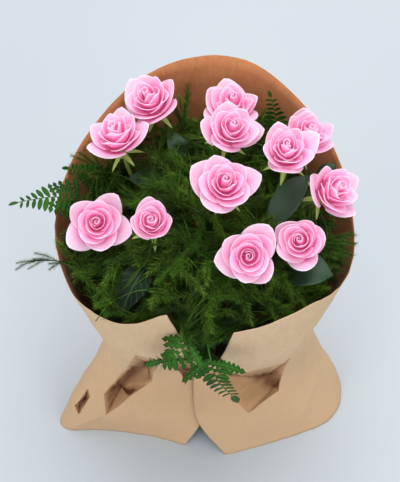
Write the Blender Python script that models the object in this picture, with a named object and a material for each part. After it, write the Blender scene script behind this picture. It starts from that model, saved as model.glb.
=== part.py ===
"""A wrapped bouquet of twelve roses, standing on the hem of its paper and its cut stems.

Sizes and places are millimetres in the bouquet's own frame, and MM turns them into metres.
The origin is where the middle stem's cut end meets the floor, +X is the viewer's right,
+Y is away from the viewer and +Z is up. The stems cross at the binding as straight lines
of one spiral, so that none meets another, and spread again towards the floor.
"""

import math
import random
from typing import NamedTuple

import bmesh
import bpy
from mathutils import Matrix, Vector
from mathutils.bvhtree import BVHTree

MM = 0.001
GAP = 0.3
GOLDEN_ANGLE = math.radians(137.5)
SEED = 12

# The spiral of stems

BINDING_Z = 82.0
BINDING_HEIGHT = 16.0
BINDING_THICKNESS = 2.2
TWIST_ABOVE = 0.031
TWIST_BELOW = 0.045
BUNCH_LEAN = complex(0.02, 0.10)
FREE_ABOVE = 105.0
PACKING_GAP = 0.42
PACKING_STEPS = 900
FRONT_FOOT = Vector((-15.0, -67.0, 0.0))
FOOT_BEND = 60.0

ROSE_STEM_RADIUS = 2.6
SPRAY_STEM_RADIUS = 1.3
FROND_STEM_RADIUS = 1.3
BRANCH_STEM_RADIUS = 1.7

# The roses

BLOOM_HEIGHT = 47.0
BLOOM_CENTRE = 26.0
NECK_LENGTH = 34.0
HIP_RADIUS = 5.4
HIP_LENGTH = 9.0
SEPAL_LENGTH = 23.0
SEPAL_WIDTH = 5.5
PETALS = 7
PETAL_THICKNESS = 0.8
BLADE_THICKNESS = 0.8


class Rose(NamedTuple):
    """One rose: the middle of its bloom, how its axis leans, how open it is, and its turn."""

    centre: tuple
    lean: tuple
    openness: float
    turn: float


ROSES = (
    Rose((26, 20, 388), (0.03, -0.24), 0.92, 20),
    Rose((48, -52, 356), (-0.03, -0.58), 1.00, 75),
    Rose((105, -32, 346), (-0.15, -0.43), 0.80, 140),
    Rose((141, 28, 362), (0.54, -0.24), 0.88, 200),
    Rose((90, 51, 400), (0.01, -0.14), 0.80, 260),
    Rose((116, 99, 378), (0.30, 0.01), 0.64, 310),
    Rose((33, 83, 400), (0.16, -0.20), 0.98, 40),
    Rose((35, 141, 377), (0.03, -0.01), 1.00, 95),
    Rose((-55, 138, 381), (-0.32, -0.08), 0.94, 165),
    Rose((-90, 92, 376), (-0.22, 0.09), 0.94, 230),
    Rose((-109, 0, 338), (0.03, -0.49), 0.98, 285),
    Rose((-50, -17, 365), (-0.01, -0.37), 0.55, 350),
)


class Green(NamedTuple):
    """One stem of foliage: where it leaves the bunch and where its tip is."""

    root: tuple
    tip: tuple
    rise: float


SPRAYS = (
    Green((-12, 62, 225), (-18, 140, 352), 30),
    Green((40, 80, 230), (64, 138, 335), 30),
    Green((-52, 70, 215), (-124, 92, 325), 40),
    Green((-74, 2, 205), (-178, -38, 326), 30),
    Green((-48, -8, 200), (-108, -98, 303), 52),
    Green((-26, -30, 195), (-17, -108, 300), 30),
    Green((2, -36, 190), (4, -92, 244), 40),
    Green((-12, 8, 235), (-24, 24, 345), 30),
    Green((34, -34, 200), (84, -92, 298), 40),
    Green((66, 4, 210), (152, -6, 318), 30),
    Green((52, 52, 225), (80, 88, 345), 25),
    Green((22, -6, 225), (62, -4, 335), 25),
)


class Frond(NamedTuple):
    """One frond: the points its rib passes after it leaves the bunch, its longest pinna, and
    the share of the rib that is bare."""

    places: tuple
    pinna: float
    bare: float


FRONDS = (
    Frond(((9, -52, 205), (7, -108, 284), (17, -134, 250), (39, -108, 160)), 38, 0.5),
    Frond(((-4, -50, 205), (-6, -104, 290), (-24, -126, 280), (-46, -120, 262)), 26, 0.42),
    Frond(((-64, 45, 215), (-112, 56, 300), (-152, 40, 335), (-204, 25, 342)), 20, 0.5),
    Frond(((-60, 72, 225), (-92, 82, 290), (-120, 80, 325), (-144, 68, 350)), 22, 0.35),
    Frond(((48, 92, 230), (80, 116, 300), (84, 134, 345), (76, 142, 386)), 22, 0.4),
)


class Leaf(NamedTuple):
    """One broad leaf: the base and tip of its blade, its half width and how far it arches."""

    base: tuple
    tip: tuple
    half_width: float
    arch: float


class Branch(NamedTuple):
    """One woody stem with broad leaves."""

    root: tuple
    leaves: tuple


BRANCHES = (
    Branch((-38, -22, 215), (Leaf((-55, -34, 312), (-84, -80, 284), 17, 10),
                             Leaf((-128, -2, 282), (-149, 12, 304), 9, 5))),
    Branch((62, -8, 236), (Leaf((72, 4, 322), (116, 58, 350), 16, 8),
                           Leaf((128, 66, 316), (148, 84, 336), 11, 5))),
    Branch((44, -24, 215), (Leaf((90, -34, 290), (141, -40, 302), 22, 10),
                            Leaf((36, -56, 262), (28, -84, 236), 9, 5))),
    Branch((-16, 52, 225), (Leaf((-14, 88, 318), (-34, 122, 346), 12, 6),
                            Leaf((-38, 72, 308), (-78, 78, 318), 14, 7))),
)

# The paper: its edge round the mouth, and thirteen places on each level, from the free edge
# at the left of the front, round the back, to the free edge at the right of the front

PAPER_THICKNESS = 1.0
MOUTH_CENTRE = (6.0, 25.0)
MOUTH_HALF_WIDTH = 163.0
MOUTH_FRONT = 148.0
MOUTH_BACK = 166.0
MOUTH_ANGLES = (-14, -36, -62, -90, -118, -150, -180, -212, -242, -270, -301, -329, -350)
MOUTH_HEIGHTS = (
    (-350, 316), (-332, 320), (-318, 316), (-303, 295), (-293, 283), (-272, 277), (-255, 308),
    (-240, 337), (-221, 361), (-207, 382), (-198, 393), (-184, 396), (-164, 386), (-152, 373),
    (-132, 345), (-108, 318), (-74, 292), (-60, 278), (-46, 288), (-35, 296), (-26, 313),
    (-14, 350),
)
PAPER_LEVELS = (
    (0, ((-18, -80), (-60, -68), (-115, -60), (-169, -53), (-148, 0), (-90, 55), (0, 82),
         (75, 80), (142, 66), (174, 12), (160, -44), (95, -74), (31, -94))),
    (38, ((4, -62), (-52, -60), (-105, -56), (-152, -38), (-134, 8), (-80, 48), (0, 64),
          (70, 62), (128, 48), (161, 12), (130, -38), (68, -66), (-3, -67))),
    (82, ((5, -18.4), (-36, -30), (-80, -35), (-124, -16), (-108, 22), (-58, 38), (0, 42),
          (58, 42), (112, 34), (144, 10), (100, -32), (44, -38), (-7, -27))),
    (140, ((-3, -50), (-48, -55), (-88, -45), (-109, -5), (-98, 45), (-58, 78), (0, 90),
           (60, 84), (106, 54), (130, 8), (103, -42), (55, -60), (6, -54))),
    (215, ((-9, -84), (-60, -85), (-108, -60), (-132, 0), (-122, 62), (-72, 114), (2, 129),
           (76, 118), (128, 68), (147, 14), (122, -55), (72, -86), (22, -89))),
)
PAPER_COLUMNS = 40
PAPER_ROWS = (0.0, 0.5, 1.0, 1.4, 1.7, 2.0, 2.5, 3.05, 3.65, 4.3, 5.0)
FRONT_CROWDING = 0.55


class Pocket(NamedTuple):
    """A hollow pushed into the front of the paper: its outline seen from the front as x and z,
    and the two ends of its deepest crease."""

    outline: tuple
    crease: tuple


POCKETS = (
    Pocket(((-71, 211), (-52, 212), (-48, 143), (-57, 75), (-83, 58), (-113, 33), (-115, 57),
            (-101, 72), (-86, 100)), ((-55, -38, 109), (-94, -39, 39))),
    Pocket(((5, 85), (29, 126), (64, 141), (104, 144), (94, 62), (57, 46), (30, 68)),
           ((69, -28, 74), (89, -33, 60))),
    Pocket(((-36, 155), (-11, 221), (-5, 92), (-12, 72), (-17, 65), (-26, 86)),
           ((-20, -24, 84), (-17, -28, 67))),
    Pocket(((-134, 57), (-131, 50), (-147, 25), (-151, 35)), ((-138, -36, 39), (-145, -43, 29))),
)


def clean_scene():
    """Removes what the scene holds before the bouquet is made."""
    for thing in list(bpy.data.objects):
        bpy.data.objects.remove(thing, do_unlink=True)


def material(name, colour, roughness):
    """Returns a plain surface of one colour."""
    finish = bpy.data.materials.new(name)
    finish.use_nodes = True
    shader = finish.node_tree.nodes["Principled BSDF"]
    shader.inputs["Base Color"].default_value = (*colour, 1.0)
    shader.inputs["Roughness"].default_value = roughness
    shader.inputs["Metallic"].default_value = 0.0
    return finish


def to_object(name, bm, finish):
    """Turns a bmesh in millimetres into an object in metres."""
    bmesh.ops.recalc_face_normals(bm, faces=bm.faces)
    bmesh.ops.scale(bm, vec=(MM, MM, MM), verts=bm.verts)
    mesh = bpy.data.meshes.new(name)
    bm.to_mesh(mesh)
    bm.free()
    mesh.shade_smooth()
    mesh.set_sharp_from_angle(angle=math.radians(40))
    mesh.materials.append(finish)
    thing = bpy.data.objects.new(name, mesh)
    bpy.context.scene.collection.objects.link(thing)
    return thing


def fuse(name, pieces, solver="EXACT"):
    """Joins closed pieces that grow from the first one into one solid."""
    trunk = pieces[0]
    twigs = bpy.data.collections.new(name + "_twigs")
    bpy.context.scene.collection.children.link(twigs)
    for piece in pieces[1:]:
        twigs.objects.link(piece)
    join = trunk.modifiers.new("fuse", "BOOLEAN")
    join.operation = "UNION"
    join.operand_type = "COLLECTION"
    join.collection = twigs
    join.solver = solver
    seen = trunk.evaluated_get(bpy.context.evaluated_depsgraph_get())
    mesh = bpy.data.meshes.new_from_object(seen)
    trunk.modifiers.clear()
    trunk.data = mesh
    for piece in pieces[1:]:
        bpy.data.objects.remove(piece, do_unlink=True)
    bpy.data.collections.remove(twigs)
    trunk.name = name
    mesh.name = name
    return trunk


def bezier(points, share):
    """Returns the point at a share of the way along a curve of any degree."""
    while len(points) > 1:
        points = [first.lerp(second, share) for first, second in zip(points, points[1:])]
    return points[0]


def ring_frames(points):
    """Returns two directions across the path at each of its points, turned as little as can be."""
    frames = []
    across = Vector((1.0, 0.0, 0.0))
    for index, point in enumerate(points):
        before = points[max(index - 1, 0)]
        after = points[min(index + 1, len(points) - 1)]
        along = (after - before).normalized()
        across = (across - along * across.dot(along)).normalized()
        frames.append((along, across, along.cross(across)))
    return frames


def sweep(points, radii, sides, flat_foot=False, pointed=False):
    """Sweeps a regular outline along a path by extruding its end face from point to point.

    With flat_foot, the first end is cut level with the floor. With pointed, the last end is
    drawn together to a point.
    """
    bm = bmesh.new()
    corners = bmesh.ops.create_circle(bm, cap_ends=True, segments=sides, radius=1.0)["verts"]
    bm.faces.ensure_lookup_table()
    end = bm.faces[0]
    for index, (point, radius, frame) in enumerate(zip(points, radii, ring_frames(points))):
        along, across, aside = frame
        if index:
            grown = bmesh.ops.extrude_face_region(bm, geom=[end])["geom"]
            if index > 1:
                bmesh.ops.delete(bm, geom=[end], context="FACES_ONLY")
            end = next(item for item in grown if isinstance(item, bmesh.types.BMFace))
            corners = [next_corner(corner, set(end.verts)) for corner in corners]
        for step, corner in enumerate(corners):
            angle = math.tau * step / sides
            spoke = across * math.cos(angle) + aside * math.sin(angle)
            corner.co = point + spoke * radius
            if flat_foot and index == 0:
                corner.co -= along * (corner.co.z / along.z)
    if pointed:
        bmesh.ops.pointmerge(bm, verts=corners, merge_co=points[-1])
    return bm


def next_corner(corner, ring):
    """Returns the corner of a ring that an extrusion joined to the given one."""
    ends = (edge.other_vert(corner) for edge in corner.link_edges)
    return next(end for end in ends if end in ring)


def blade(place, columns, rows, thickness):
    """Makes a thin curved blade, triangulated alike on both faces.

    place gives the point for u from -1 to 1 across the blade and v from 0 to 1 along it.
    """
    bm = bmesh.new()
    bmesh.ops.create_grid(bm, x_segments=columns, y_segments=rows, size=1.0)
    for vertex in bm.verts:
        vertex.co = place(vertex.co.x, (vertex.co.y + 1.0) / 2.0)
    thicken(bm, thickness)
    return bm


def thicken(bm, thickness):
    """Gives an open surface a thickness, half on either side."""
    bmesh.ops.triangulate(bm, faces=bm.faces)
    bm.normal_update()
    moves = [(vertex, vertex.normal * thickness / 2.0) for vertex in bm.verts]
    for vertex, move in moves:
        vertex.co += move
    bmesh.ops.solidify(bm, geom=bm.faces, thickness=thickness)


# The bunch: where each stem passes the binding

class Stem:
    """A stem's way through the binding to the place where its head or foliage begins."""

    def __init__(self, target, radius):
        self.target = Vector(target)
        self.radius = radius
        height = self.target.z
        place = complex(self.target.x, self.target.y) - BUNCH_LEAN * (height - BINDING_Z)
        self.wish = place / complex(1.0, TWIST_ABOVE * (height - BINDING_Z))
        self.spot = self.wish
        self.foot = None

    def at(self, height):
        """Returns the stem's centre at a height below its target."""
        rise = height - BINDING_Z
        twist = TWIST_ABOVE if rise > 0.0 else TWIST_BELOW
        share = max(height - FREE_ABOVE, 0.0) / (self.target.z - FREE_ABOVE)
        spot = self.spot + (self.wish - self.spot) * min(share, 1.0)
        place = BUNCH_LEAN * max(rise, 0.0) + spot * complex(1.0, twist * rise)
        point = Vector((place.real, place.imag, height))
        if self.foot and height < FOOT_BEND:
            share = 1.0 - height / FOOT_BEND
            point = point.lerp(Vector((self.foot.x, self.foot.y, height)), share)
        return point

    def way(self, heights):
        """Returns the stem's points from the floor to its target."""
        levels = [height for height in heights if height < self.target.z - 12.0]
        if self.foot:
            levels.insert(1, FOOT_BEND)
        return [self.at(height) for height in levels] + [self.target]


def pack_at_binding(stems):
    """Slides the stems together at the binding until each lies against its neighbours."""
    for step in range(PACKING_STEPS):
        pull = 0.012 * (1.0 - step / PACKING_STEPS)
        for stem in stems[1:]:
            stem.spot -= stem.spot * pull
        for first in range(len(stems)):
            for second in range(first + 1, len(stems)):
                part_two(stems[first], stems[second], fixed=first == 0)


def part_two(one, other, fixed):
    """Pushes two stems apart where they are closer than their slant at the binding allows."""
    way = other.spot - one.spot
    middle = (one.spot + other.spot) / 2.0
    out = middle / max(abs(middle), 0.001)
    across = way * out.conjugate()
    slant = math.hypot(1.0, TWIST_BELOW * abs(middle))
    apart = math.hypot(across.real, across.imag / slant)
    lack = one.radius + other.radius + PACKING_GAP - apart
    if lack <= 0.0:
        return
    push = way / max(abs(way), 0.001) * lack
    if fixed:
        other.spot += push
    else:
        one.spot -= push / 2.0
        other.spot += push / 2.0


# The roses

class Bloom:
    """The frame of one bloom: its base, its axis, and the directions across it."""

    def __init__(self, rose):
        lean_x, lean_y = rose.lean
        self.axis = Vector((lean_x, lean_y, math.sqrt(1.0 - lean_x ** 2 - lean_y ** 2)))
        self.base = Vector(rose.centre) - self.axis * BLOOM_CENTRE
        self.across = Vector((0.0, 1.0, 0.0)).cross(self.axis).normalized()
        self.aside = self.axis.cross(self.across)
        self.openness = rose.openness
        self.turn = math.radians(rose.turn)

    def at(self, radius, angle, height):
        """Returns the point at a radius, an angle and a height over the bloom's base."""
        spoke = self.across * math.cos(angle) + self.aside * math.sin(angle)
        return self.base + spoke * radius + self.axis * height


HEART_SIDES = 5
HEART_PROFILE = ((5.0, 0.0), (11.0, 6.0), (13.0, 18.0), (2.4, 40.0))


def shell_point(order, opening, share):
    """Returns radius and height on a petal's own cup, nested in the cups of later petals."""
    root = Vector((9.6 - 2.0 * order, 17.0 - 13.0 * order))
    belly = Vector((19.0 + 5.0 * opening, 28.0 - 12.0 * opening))
    lip = Vector((6.5 + 27.0 * opening, BLOOM_HEIGHT - 12.0 * opening))
    return bezier([root, belly, lip], share)


def petal(bloom, index):
    """Makes one petal, on a cup of its own just outside the petals within it."""
    order = index / (PETALS - 1)
    opening = bloom.openness * order
    reach = math.radians(74.0 - 18.0 * order)
    heading = bloom.turn + index * GOLDEN_ANGLE

    def place(u, v):
        width = reach * math.sin(math.radians(22.0 + 78.0 * v))
        share = v * (1.0 - (0.10 + 0.14 * order) * abs(u) ** 1.6)
        radius, height = shell_point(order, opening + 0.02 * u, share)
        return bloom.at(radius, heading + u * width, height)

    return blade(place, 3, 2, PETAL_THICKNESS)


def heart(bloom):
    """Makes the closed bud in the middle, which the petals grow from."""
    points = [bloom.base + bloom.axis * height for _, height in HEART_PROFILE]
    radii = [radius for radius, _ in HEART_PROFILE]
    return sweep(points, radii, HEART_SIDES)


def make_bloom(name, rose, finish):
    """Makes one bloom: its heart and its nested petals, fused at their roots."""
    bloom = Bloom(rose)
    pieces = [to_object(name, heart(bloom), finish)]
    for index in range(PETALS):
        pieces.append(to_object("petal", petal(bloom, index), finish))
    return fuse(name, pieces)


ROSE_LEVELS = (0.0, BINDING_Z, 110.0, 180.0)


def rose_stem_target(rose):
    """Returns where a rose's stem begins to bend into its neck."""
    bloom = Bloom(rose)
    return bloom.base - bloom.axis * NECK_LENGTH


def sepal(bloom, index):
    """Makes one sepal, a pointed blade that stands out from the hip or hangs from it."""
    heading = bloom.turn + index * math.tau / 5.0
    droop = math.radians((-28.0, 12.0, -8.0, 22.0, 0.0)[index])

    def place(u, v):
        out = bloom.at(HIP_RADIUS - 2.2 + SEPAL_LENGTH * v * math.cos(droop), heading, -1.9)
        side = bloom.at(1.0, heading + math.pi / 2.0, 0.0) - bloom.base
        half = SEPAL_WIDTH / 2.0 * (1.0 - 0.85 * v)
        return out + bloom.axis * math.sin(droop) * SEPAL_LENGTH * v + side * half * u

    return blade(place, 1, 1, BLADE_THICKNESS)


def make_rose_stem(name, rose, stem, finish):
    """Makes a rose's stem with its neck, its hip and its five sepals."""
    bloom = Bloom(rose)
    way = stem.way(ROSE_LEVELS)
    hip_foot = bloom.base - bloom.axis * (HIP_LENGTH + GAP)
    heading = (way[-1] - way[-2]).normalized()
    bend = (hip_foot - way[-1]).length * 0.4
    curve = [way[-1], way[-1] + heading * bend, hip_foot - bloom.axis * bend, hip_foot]
    way += [bezier(curve, share) for share in (0.5, 1.0)]
    radii = [stem.radius] * (len(way) - 1) + [stem.radius * 0.9]
    way += [bloom.base - bloom.axis * (GAP + HIP_LENGTH * 0.45), bloom.base - bloom.axis * GAP]
    radii += [HIP_RADIUS, HIP_RADIUS * 0.92]
    pieces = [to_object(name, sweep(way, radii, 5, flat_foot=True), finish)]
    for index in range(5):
        pieces.append(to_object("sepal", sepal(bloom, index), finish))
    return fuse(name, pieces)


# The foliage

GREEN_LEVELS = (0.0, BINDING_Z, 110.0, 160.0)


class Room:
    """Keeps what is already built, and says how far a point is from it."""

    def __init__(self):
        self.trees = {}

    def add(self, thing):
        """Takes note of a finished object."""
        mesh = thing.data
        corners = [vertex.co / MM for vertex in mesh.vertices]
        faces = [tuple(face.vertices) for face in mesh.polygons]
        self.trees[thing.name] = BVHTree.FromPolygons(corners, faces)

    def free(self, point, needed, but=""):
        """Says whether a point has the needed room to everything but one object."""
        for name, tree in self.trees.items():
            if name == but:
                continue
            if tree.find_nearest(point, needed)[0] is not None:
                return False
        return True


def rib_curve(green, stem):
    """Returns the control points of a spray's or a frond's rib, from the bunch to its tip."""
    root = stem.target
    tip = Vector(green.tip)
    heading = (root - stem.at(root.z - 30.0)).normalized()
    knee = root + heading * (tip - root).length * 0.35
    crown = root.lerp(tip, 0.7) + Vector((0.0, 0.0, green.rise))
    return [root, knee, crown, tip]


SPRAY_RIB_POINTS = 6
SPRAY_BRANCHES = 8
NEEDLE_LENGTH = 13.0
CLEARANCE = 1.5


def spray_rib(green, stem):
    """Returns the points of a spray's rib, from the bunch to its tip."""
    curve = rib_curve(green, stem)
    return [bezier(curve, index / SPRAY_RIB_POINTS) for index in range(SPRAY_RIB_POINTS + 1)]


def bare_spray(name, green, stem, finish):
    """Makes a spray's stem and rib, which its branches grow from."""
    rib = spray_rib(green, stem)[1:]
    way = stem.way(GREEN_LEVELS) + rib
    radii = [stem.radius] * (len(way) - len(rib))
    radii += [stem.radius * (1.0 - 0.62 * step / len(rib)) for step in range(1, len(rib) + 1)]
    return to_object(name, sweep(way, radii, 3, flat_foot=True), finish)


def along_path(points, share):
    """Returns the point at a share of the way along straight stretches, and their direction."""
    place = share * (len(points) - 1)
    index = min(int(place), len(points) - 2)
    start, end = points[index], points[index + 1]
    return start.lerp(end, place - index), (end - start).normalized()


def spray_branches(green, stem, chance):
    """Lists a spray's branches as paths, each with the path of the needle that it carries."""
    rib = spray_rib(green, stem)
    length = (rib[-1] - rib[0]).length
    pairs = []
    for index in range(SPRAY_BRANCHES):
        share = 0.12 + 0.84 * index / (SPRAY_BRANCHES - 1)
        start, along = along_path(rib, share)
        side = along.orthogonal().normalized()
        side.rotate(Matrix.Rotation(index * GOLDEN_ANGLE + chance.uniform(-0.4, 0.4), 3, along))
        reach = length * (0.40 - 0.27 * share) * chance.uniform(0.85, 1.15)
        out = (along * 0.75 + side).normalized()
        middle = start + out * reach * 0.55
        end = middle + (out + Vector((0.0, 0.0, -0.25))).normalized() * reach * 0.45
        place = start.lerp(middle, 0.8)
        way = (out * 0.7 - side.cross(out)).normalized()
        pairs.append(([start, middle, end], [place, place + way * NEEDLE_LENGTH]))
    return pairs


def clipped(path, name, room):
    """Shortens a path to the stretch that has room, or returns None where little is left."""
    kept = [path[0]]
    for start, end in zip(path, path[1:]):
        steps = max(int((end - start).length / 1.5), 1)
        for step in range(1, steps + 1):
            point = start.lerp(end, step / steps)
            if not room.free(point, CLEARANCE, but=name):
                last = start.lerp(end, max(step - 1, 0) / steps)
                if (last - kept[-1]).length > 2.0:
                    kept.append(last)
                total = sum((b - a).length for a, b in zip(kept, kept[1:]))
                return kept if total > 8.0 else None
        kept.append(end)
    return kept


def twig(path, radius, finish):
    """Makes a thin twig that ends in a point."""
    radii = [radius * (1.0 - 0.3 * step / len(path)) for step in range(len(path))]
    return to_object("twig", sweep(path, radii, 3, pointed=True), finish)


def finish_spray(thing, green, stem, chance, finish, room):
    """Adds to a bare spray the branches and needles that have room."""
    pieces = [thing]
    for number, (branch, needle) in enumerate(spray_branches(green, stem, chance)):
        kept = clipped(branch, thing.name, room)
        if kept is None:
            continue
        pieces.append(twig(kept, 0.7, finish))
        if number % 2 or len(kept) < 3:
            continue
        kept = clipped(needle, thing.name, room)
        if kept is not None:
            pieces.append(twig(kept, 0.6, finish))
    return fuse(thing.name, pieces)


def frond_rib(frond, share):
    """Returns the point at a share of the way along a frond's rib."""
    places = [Vector(place) for place in frond.places]
    return spline(places, share * (len(places) - 1))


FROND_PINNAE = 7
RIB_HALF_WIDTH = 1.0


def frond_blade(frond):
    """Makes a frond's cut blade: a narrow rib, and on both sides its pinnae, longest below."""
    bm = bmesh.new()
    stations = []
    for index in range(2 * FROND_PINNAE + 1):
        share = frond.bare + (1.0 - frond.bare) * index / (2.0 * FROND_PINNAE)
        point = frond_rib(frond, share)
        along = (point - frond_rib(frond, share - 0.03)).normalized()
        side = along.cross(Vector((0.0, 0.0, 1.0)))
        if side.length < 0.35:
            side = along.cross(Vector((0.0, -1.0, 0.0)))
        stations.append((point, along, side.normalized()))
    for hand in (-1.0, 1.0):
        edge = [bm.verts.new(point + side * hand * RIB_HALF_WIDTH) for point, _, side in stations]
        for index in range(FROND_PINNAE):
            point, along, side = stations[2 * index]
            size = frond.pinna * (1.0 - 0.8 * index / FROND_PINNAE)
            reach = point + side * hand * size + along * size * 0.45
            tip = bm.verts.new(reach - Vector((0.0, 0.0, size * 0.18)))
            belly = point + side * hand * size * 0.45 - along * size * 0.02
            bulge = bm.verts.new(belly - Vector((0.0, 0.0, size * 0.05)))
            bm.faces.new((edge[2 * index], bulge, tip, edge[2 * index + 1]))
        if hand < 0.0:
            left_edge = edge
    for index in range(2 * FROND_PINNAE):
        bm.faces.new((left_edge[index], left_edge[index + 1], edge[index + 1], edge[index]))
    bmesh.ops.recalc_face_normals(bm, faces=bm.faces)
    thicken(bm, BLADE_THICKNESS)
    return bm


def make_frond(name, frond, stem, finish):
    """Makes one frond: its stalk from the floor through the binding, and its cut blade."""
    shares = [(frond.bare + 0.03) * step / 4.0 for step in range(1, 5)]
    way = stem.way(GREEN_LEVELS) + [frond_rib(frond, share) for share in shares]
    pieces = [to_object(name, sweep(way, [stem.radius] * len(way), 3, flat_foot=True), finish)]
    pieces.append(to_object("blade", frond_blade(frond), finish))
    return fuse(name, pieces)


def leaf_curve(leaf):
    """Returns the control points of a leaf's midrib."""
    base, tip = Vector(leaf.base), Vector(leaf.tip)
    return [base, base.lerp(tip, 0.5) + Vector((0.0, 0.0, leaf.arch * 2.0)), tip]


def leaf_blade(leaf):
    """Makes one broad leaf: pointed at both ends, arched, and folded a little at its midrib."""
    curve = leaf_curve(leaf)

    def place(u, v):
        point = bezier(curve, v)
        along = (curve[2] - curve[0]).normalized()
        side = along.cross(Vector((0.0, 0.0, 1.0))).normalized()
        half = leaf.half_width * max(math.sin(math.pi * v ** 0.85), 0.08)
        return point + side * half * u + Vector((0.0, 0.0, 0.22 * half * abs(u)))

    return blade(place, 2, 3, BLADE_THICKNESS)


def make_branch(name, branch, stem, finish):
    """Makes a woody stem with its leaves, each on a stalk of its own."""
    way = stem.way(GREEN_LEVELS)
    pieces = [to_object(name, sweep(way, [stem.radius] * len(way), 4, flat_foot=True), finish)]
    heading = (way[-1] - way[-2]).normalized()
    for leaf in branch.leaves:
        base = Vector(leaf.base)
        start = stem.target - heading * 3.0
        into = bezier(leaf_curve(leaf), 0.09)
        curve = [start, start + heading * (base - start).length * 0.45, base, into]
        stalk = [bezier(curve, share) for share in (0.0, 0.33, 0.67, 1.0)]
        pieces.append(to_object("stalk", sweep(stalk, [1.5, 1.3, 1.1, 0.9], 4), finish))
        pieces.append(to_object("leaf", leaf_blade(leaf), finish))
    return fuse(name, pieces)


# The paper and the binding

def spline(values, place):
    """Returns the value at a place along a smooth curve through evenly spaced values."""
    last = len(values) - 1
    index = min(int(place), last - 1)
    share = place - index
    one, two = values[index], values[index + 1]
    before = values[index - 1] if index else one * 2.0 - two
    after = values[index + 2] if index + 2 <= last else two * 2.0 - one
    slope_one, slope_two = (two - before) / 2.0, (after - one) / 2.0
    return (one * (2.0 * share ** 3 - 3.0 * share ** 2 + 1.0)
            + slope_one * (share ** 3 - 2.0 * share ** 2 + share)
            + two * (3.0 * share ** 2 - 2.0 * share ** 3)
            + slope_two * (share ** 3 - share ** 2))


def mouth_point(station):
    """Returns the point on the paper's upper edge at a station from 0 to 12."""
    angle = spline(MOUTH_ANGLES, station)
    for (low, low_height), (high, high_height) in zip(MOUTH_HEIGHTS, MOUTH_HEIGHTS[1:]):
        if low <= angle <= high:
            share = (angle - low) / (high - low)
            height = low_height + (high_height - low_height) * share
    angle = math.radians(angle)
    depth = MOUTH_FRONT if math.cos(angle) > 0.0 else MOUTH_BACK
    return Vector((MOUTH_CENTRE[0] + MOUTH_HALF_WIDTH * math.sin(angle),
                   MOUTH_CENTRE[1] - depth * math.cos(angle), height))


def within(outline, x, z):
    """Says whether a point seen from the front lies within an outline."""
    inside = False
    for (one_x, one_z), (two_x, two_z) in zip(outline, outline[1:] + outline[:1]):
        if (one_z > z) != (two_z > z):
            inside ^= x < one_x + (two_x - one_x) * (z - one_z) / (two_z - one_z)
    return inside


def press_pocket(bm, pocket):
    """Cuts the sheet along a pocket's outline and folds what lies within down to its bottom."""
    outline = pocket.outline
    low_x, high_x = min(x for x, _ in outline), max(x for x, _ in outline)
    low_z, high_z = min(z for _, z in outline), max(z for _, z in outline)

    def nearby():
        """Lists the faces at the front of the sheet that reach into the pocket's bounds."""
        return [face for face in bm.faces
                if min(corner.co.x for corner in face.verts) < high_x
                and max(corner.co.x for corner in face.verts) > low_x
                and min(corner.co.z for corner in face.verts) < high_z
                and max(corner.co.z for corner in face.verts) > low_z
                and face.calc_center_median().y < -10.0]

    for (one_x, one_z), (two_x, two_z) in zip(outline, outline[1:] + outline[:1]):
        faces = nearby()
        edges = {edge for face in faces for edge in face.edges}
        corners = {corner for face in faces for corner in face.verts}
        across = Vector((two_z - one_z, 0.0, one_x - two_x)).normalized()
        bmesh.ops.bisect_plane(bm, geom=faces + list(edges) + list(corners), dist=1.0,
                               plane_co=(one_x, 0.0, one_z), plane_no=across)
    faces = set()
    for face in nearby():
        middle = face.calc_center_median()
        if within(outline, middle.x, middle.z):
            faces.add(face)
    rim = [edge for face in faces for edge in face.edges
           if sum(other in faces for other in edge.link_faces) == 1]
    ends = [bm.verts.new(place) for place in pocket.crease]
    bmesh.ops.delete(bm, geom=list(faces), context="FACES")
    for edge in rim:
        one, two = edge.verts
        low_one, low_two = (min(ends, key=lambda end, v=v: (end.co - v.co).length)
                            for v in (one, two))
        bm.faces.new((one, two, low_one))
        if low_one is not low_two:
            bm.faces.new((two, low_two, low_one))
    bmesh.ops.recalc_face_normals(bm, faces=bm.faces)


def paper_point(station, level):
    """Returns the point on the paper at a station round it and a level from hem to mouth."""
    column = []
    for height, places in PAPER_LEVELS:
        x, y = spline([Vector(place) for place in places], station)
        column.append(Vector((x, y, height)))
    return spline(column + [mouth_point(station)], level)


def make_paper(finish):
    """Makes the paper wrap as one thin sheet with two free edges at the front."""
    bm = bmesh.new()
    rows = len(PAPER_ROWS) - 1
    bmesh.ops.create_grid(bm, x_segments=PAPER_COLUMNS, y_segments=rows, size=1.0)
    for vertex in bm.verts:
        turn = math.pi * (vertex.co.x + 1.0)
        station = 6.0 / math.pi * (turn - FRONT_CROWDING * math.sin(turn))
        level = PAPER_ROWS[round((vertex.co.y + 1.0) / 2.0 * rows)]
        vertex.co = paper_point(station, level)
    for pocket in POCKETS:
        press_pocket(bm, pocket)
    thicken(bm, PAPER_THICKNESS)
    for vertex in bm.verts:
        if vertex.co.z < 2.0:
            vertex.co.z = 0.0
    return to_object("kraft_paper_wrap", bm, finish)


BINDING_SIDES = 20


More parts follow.
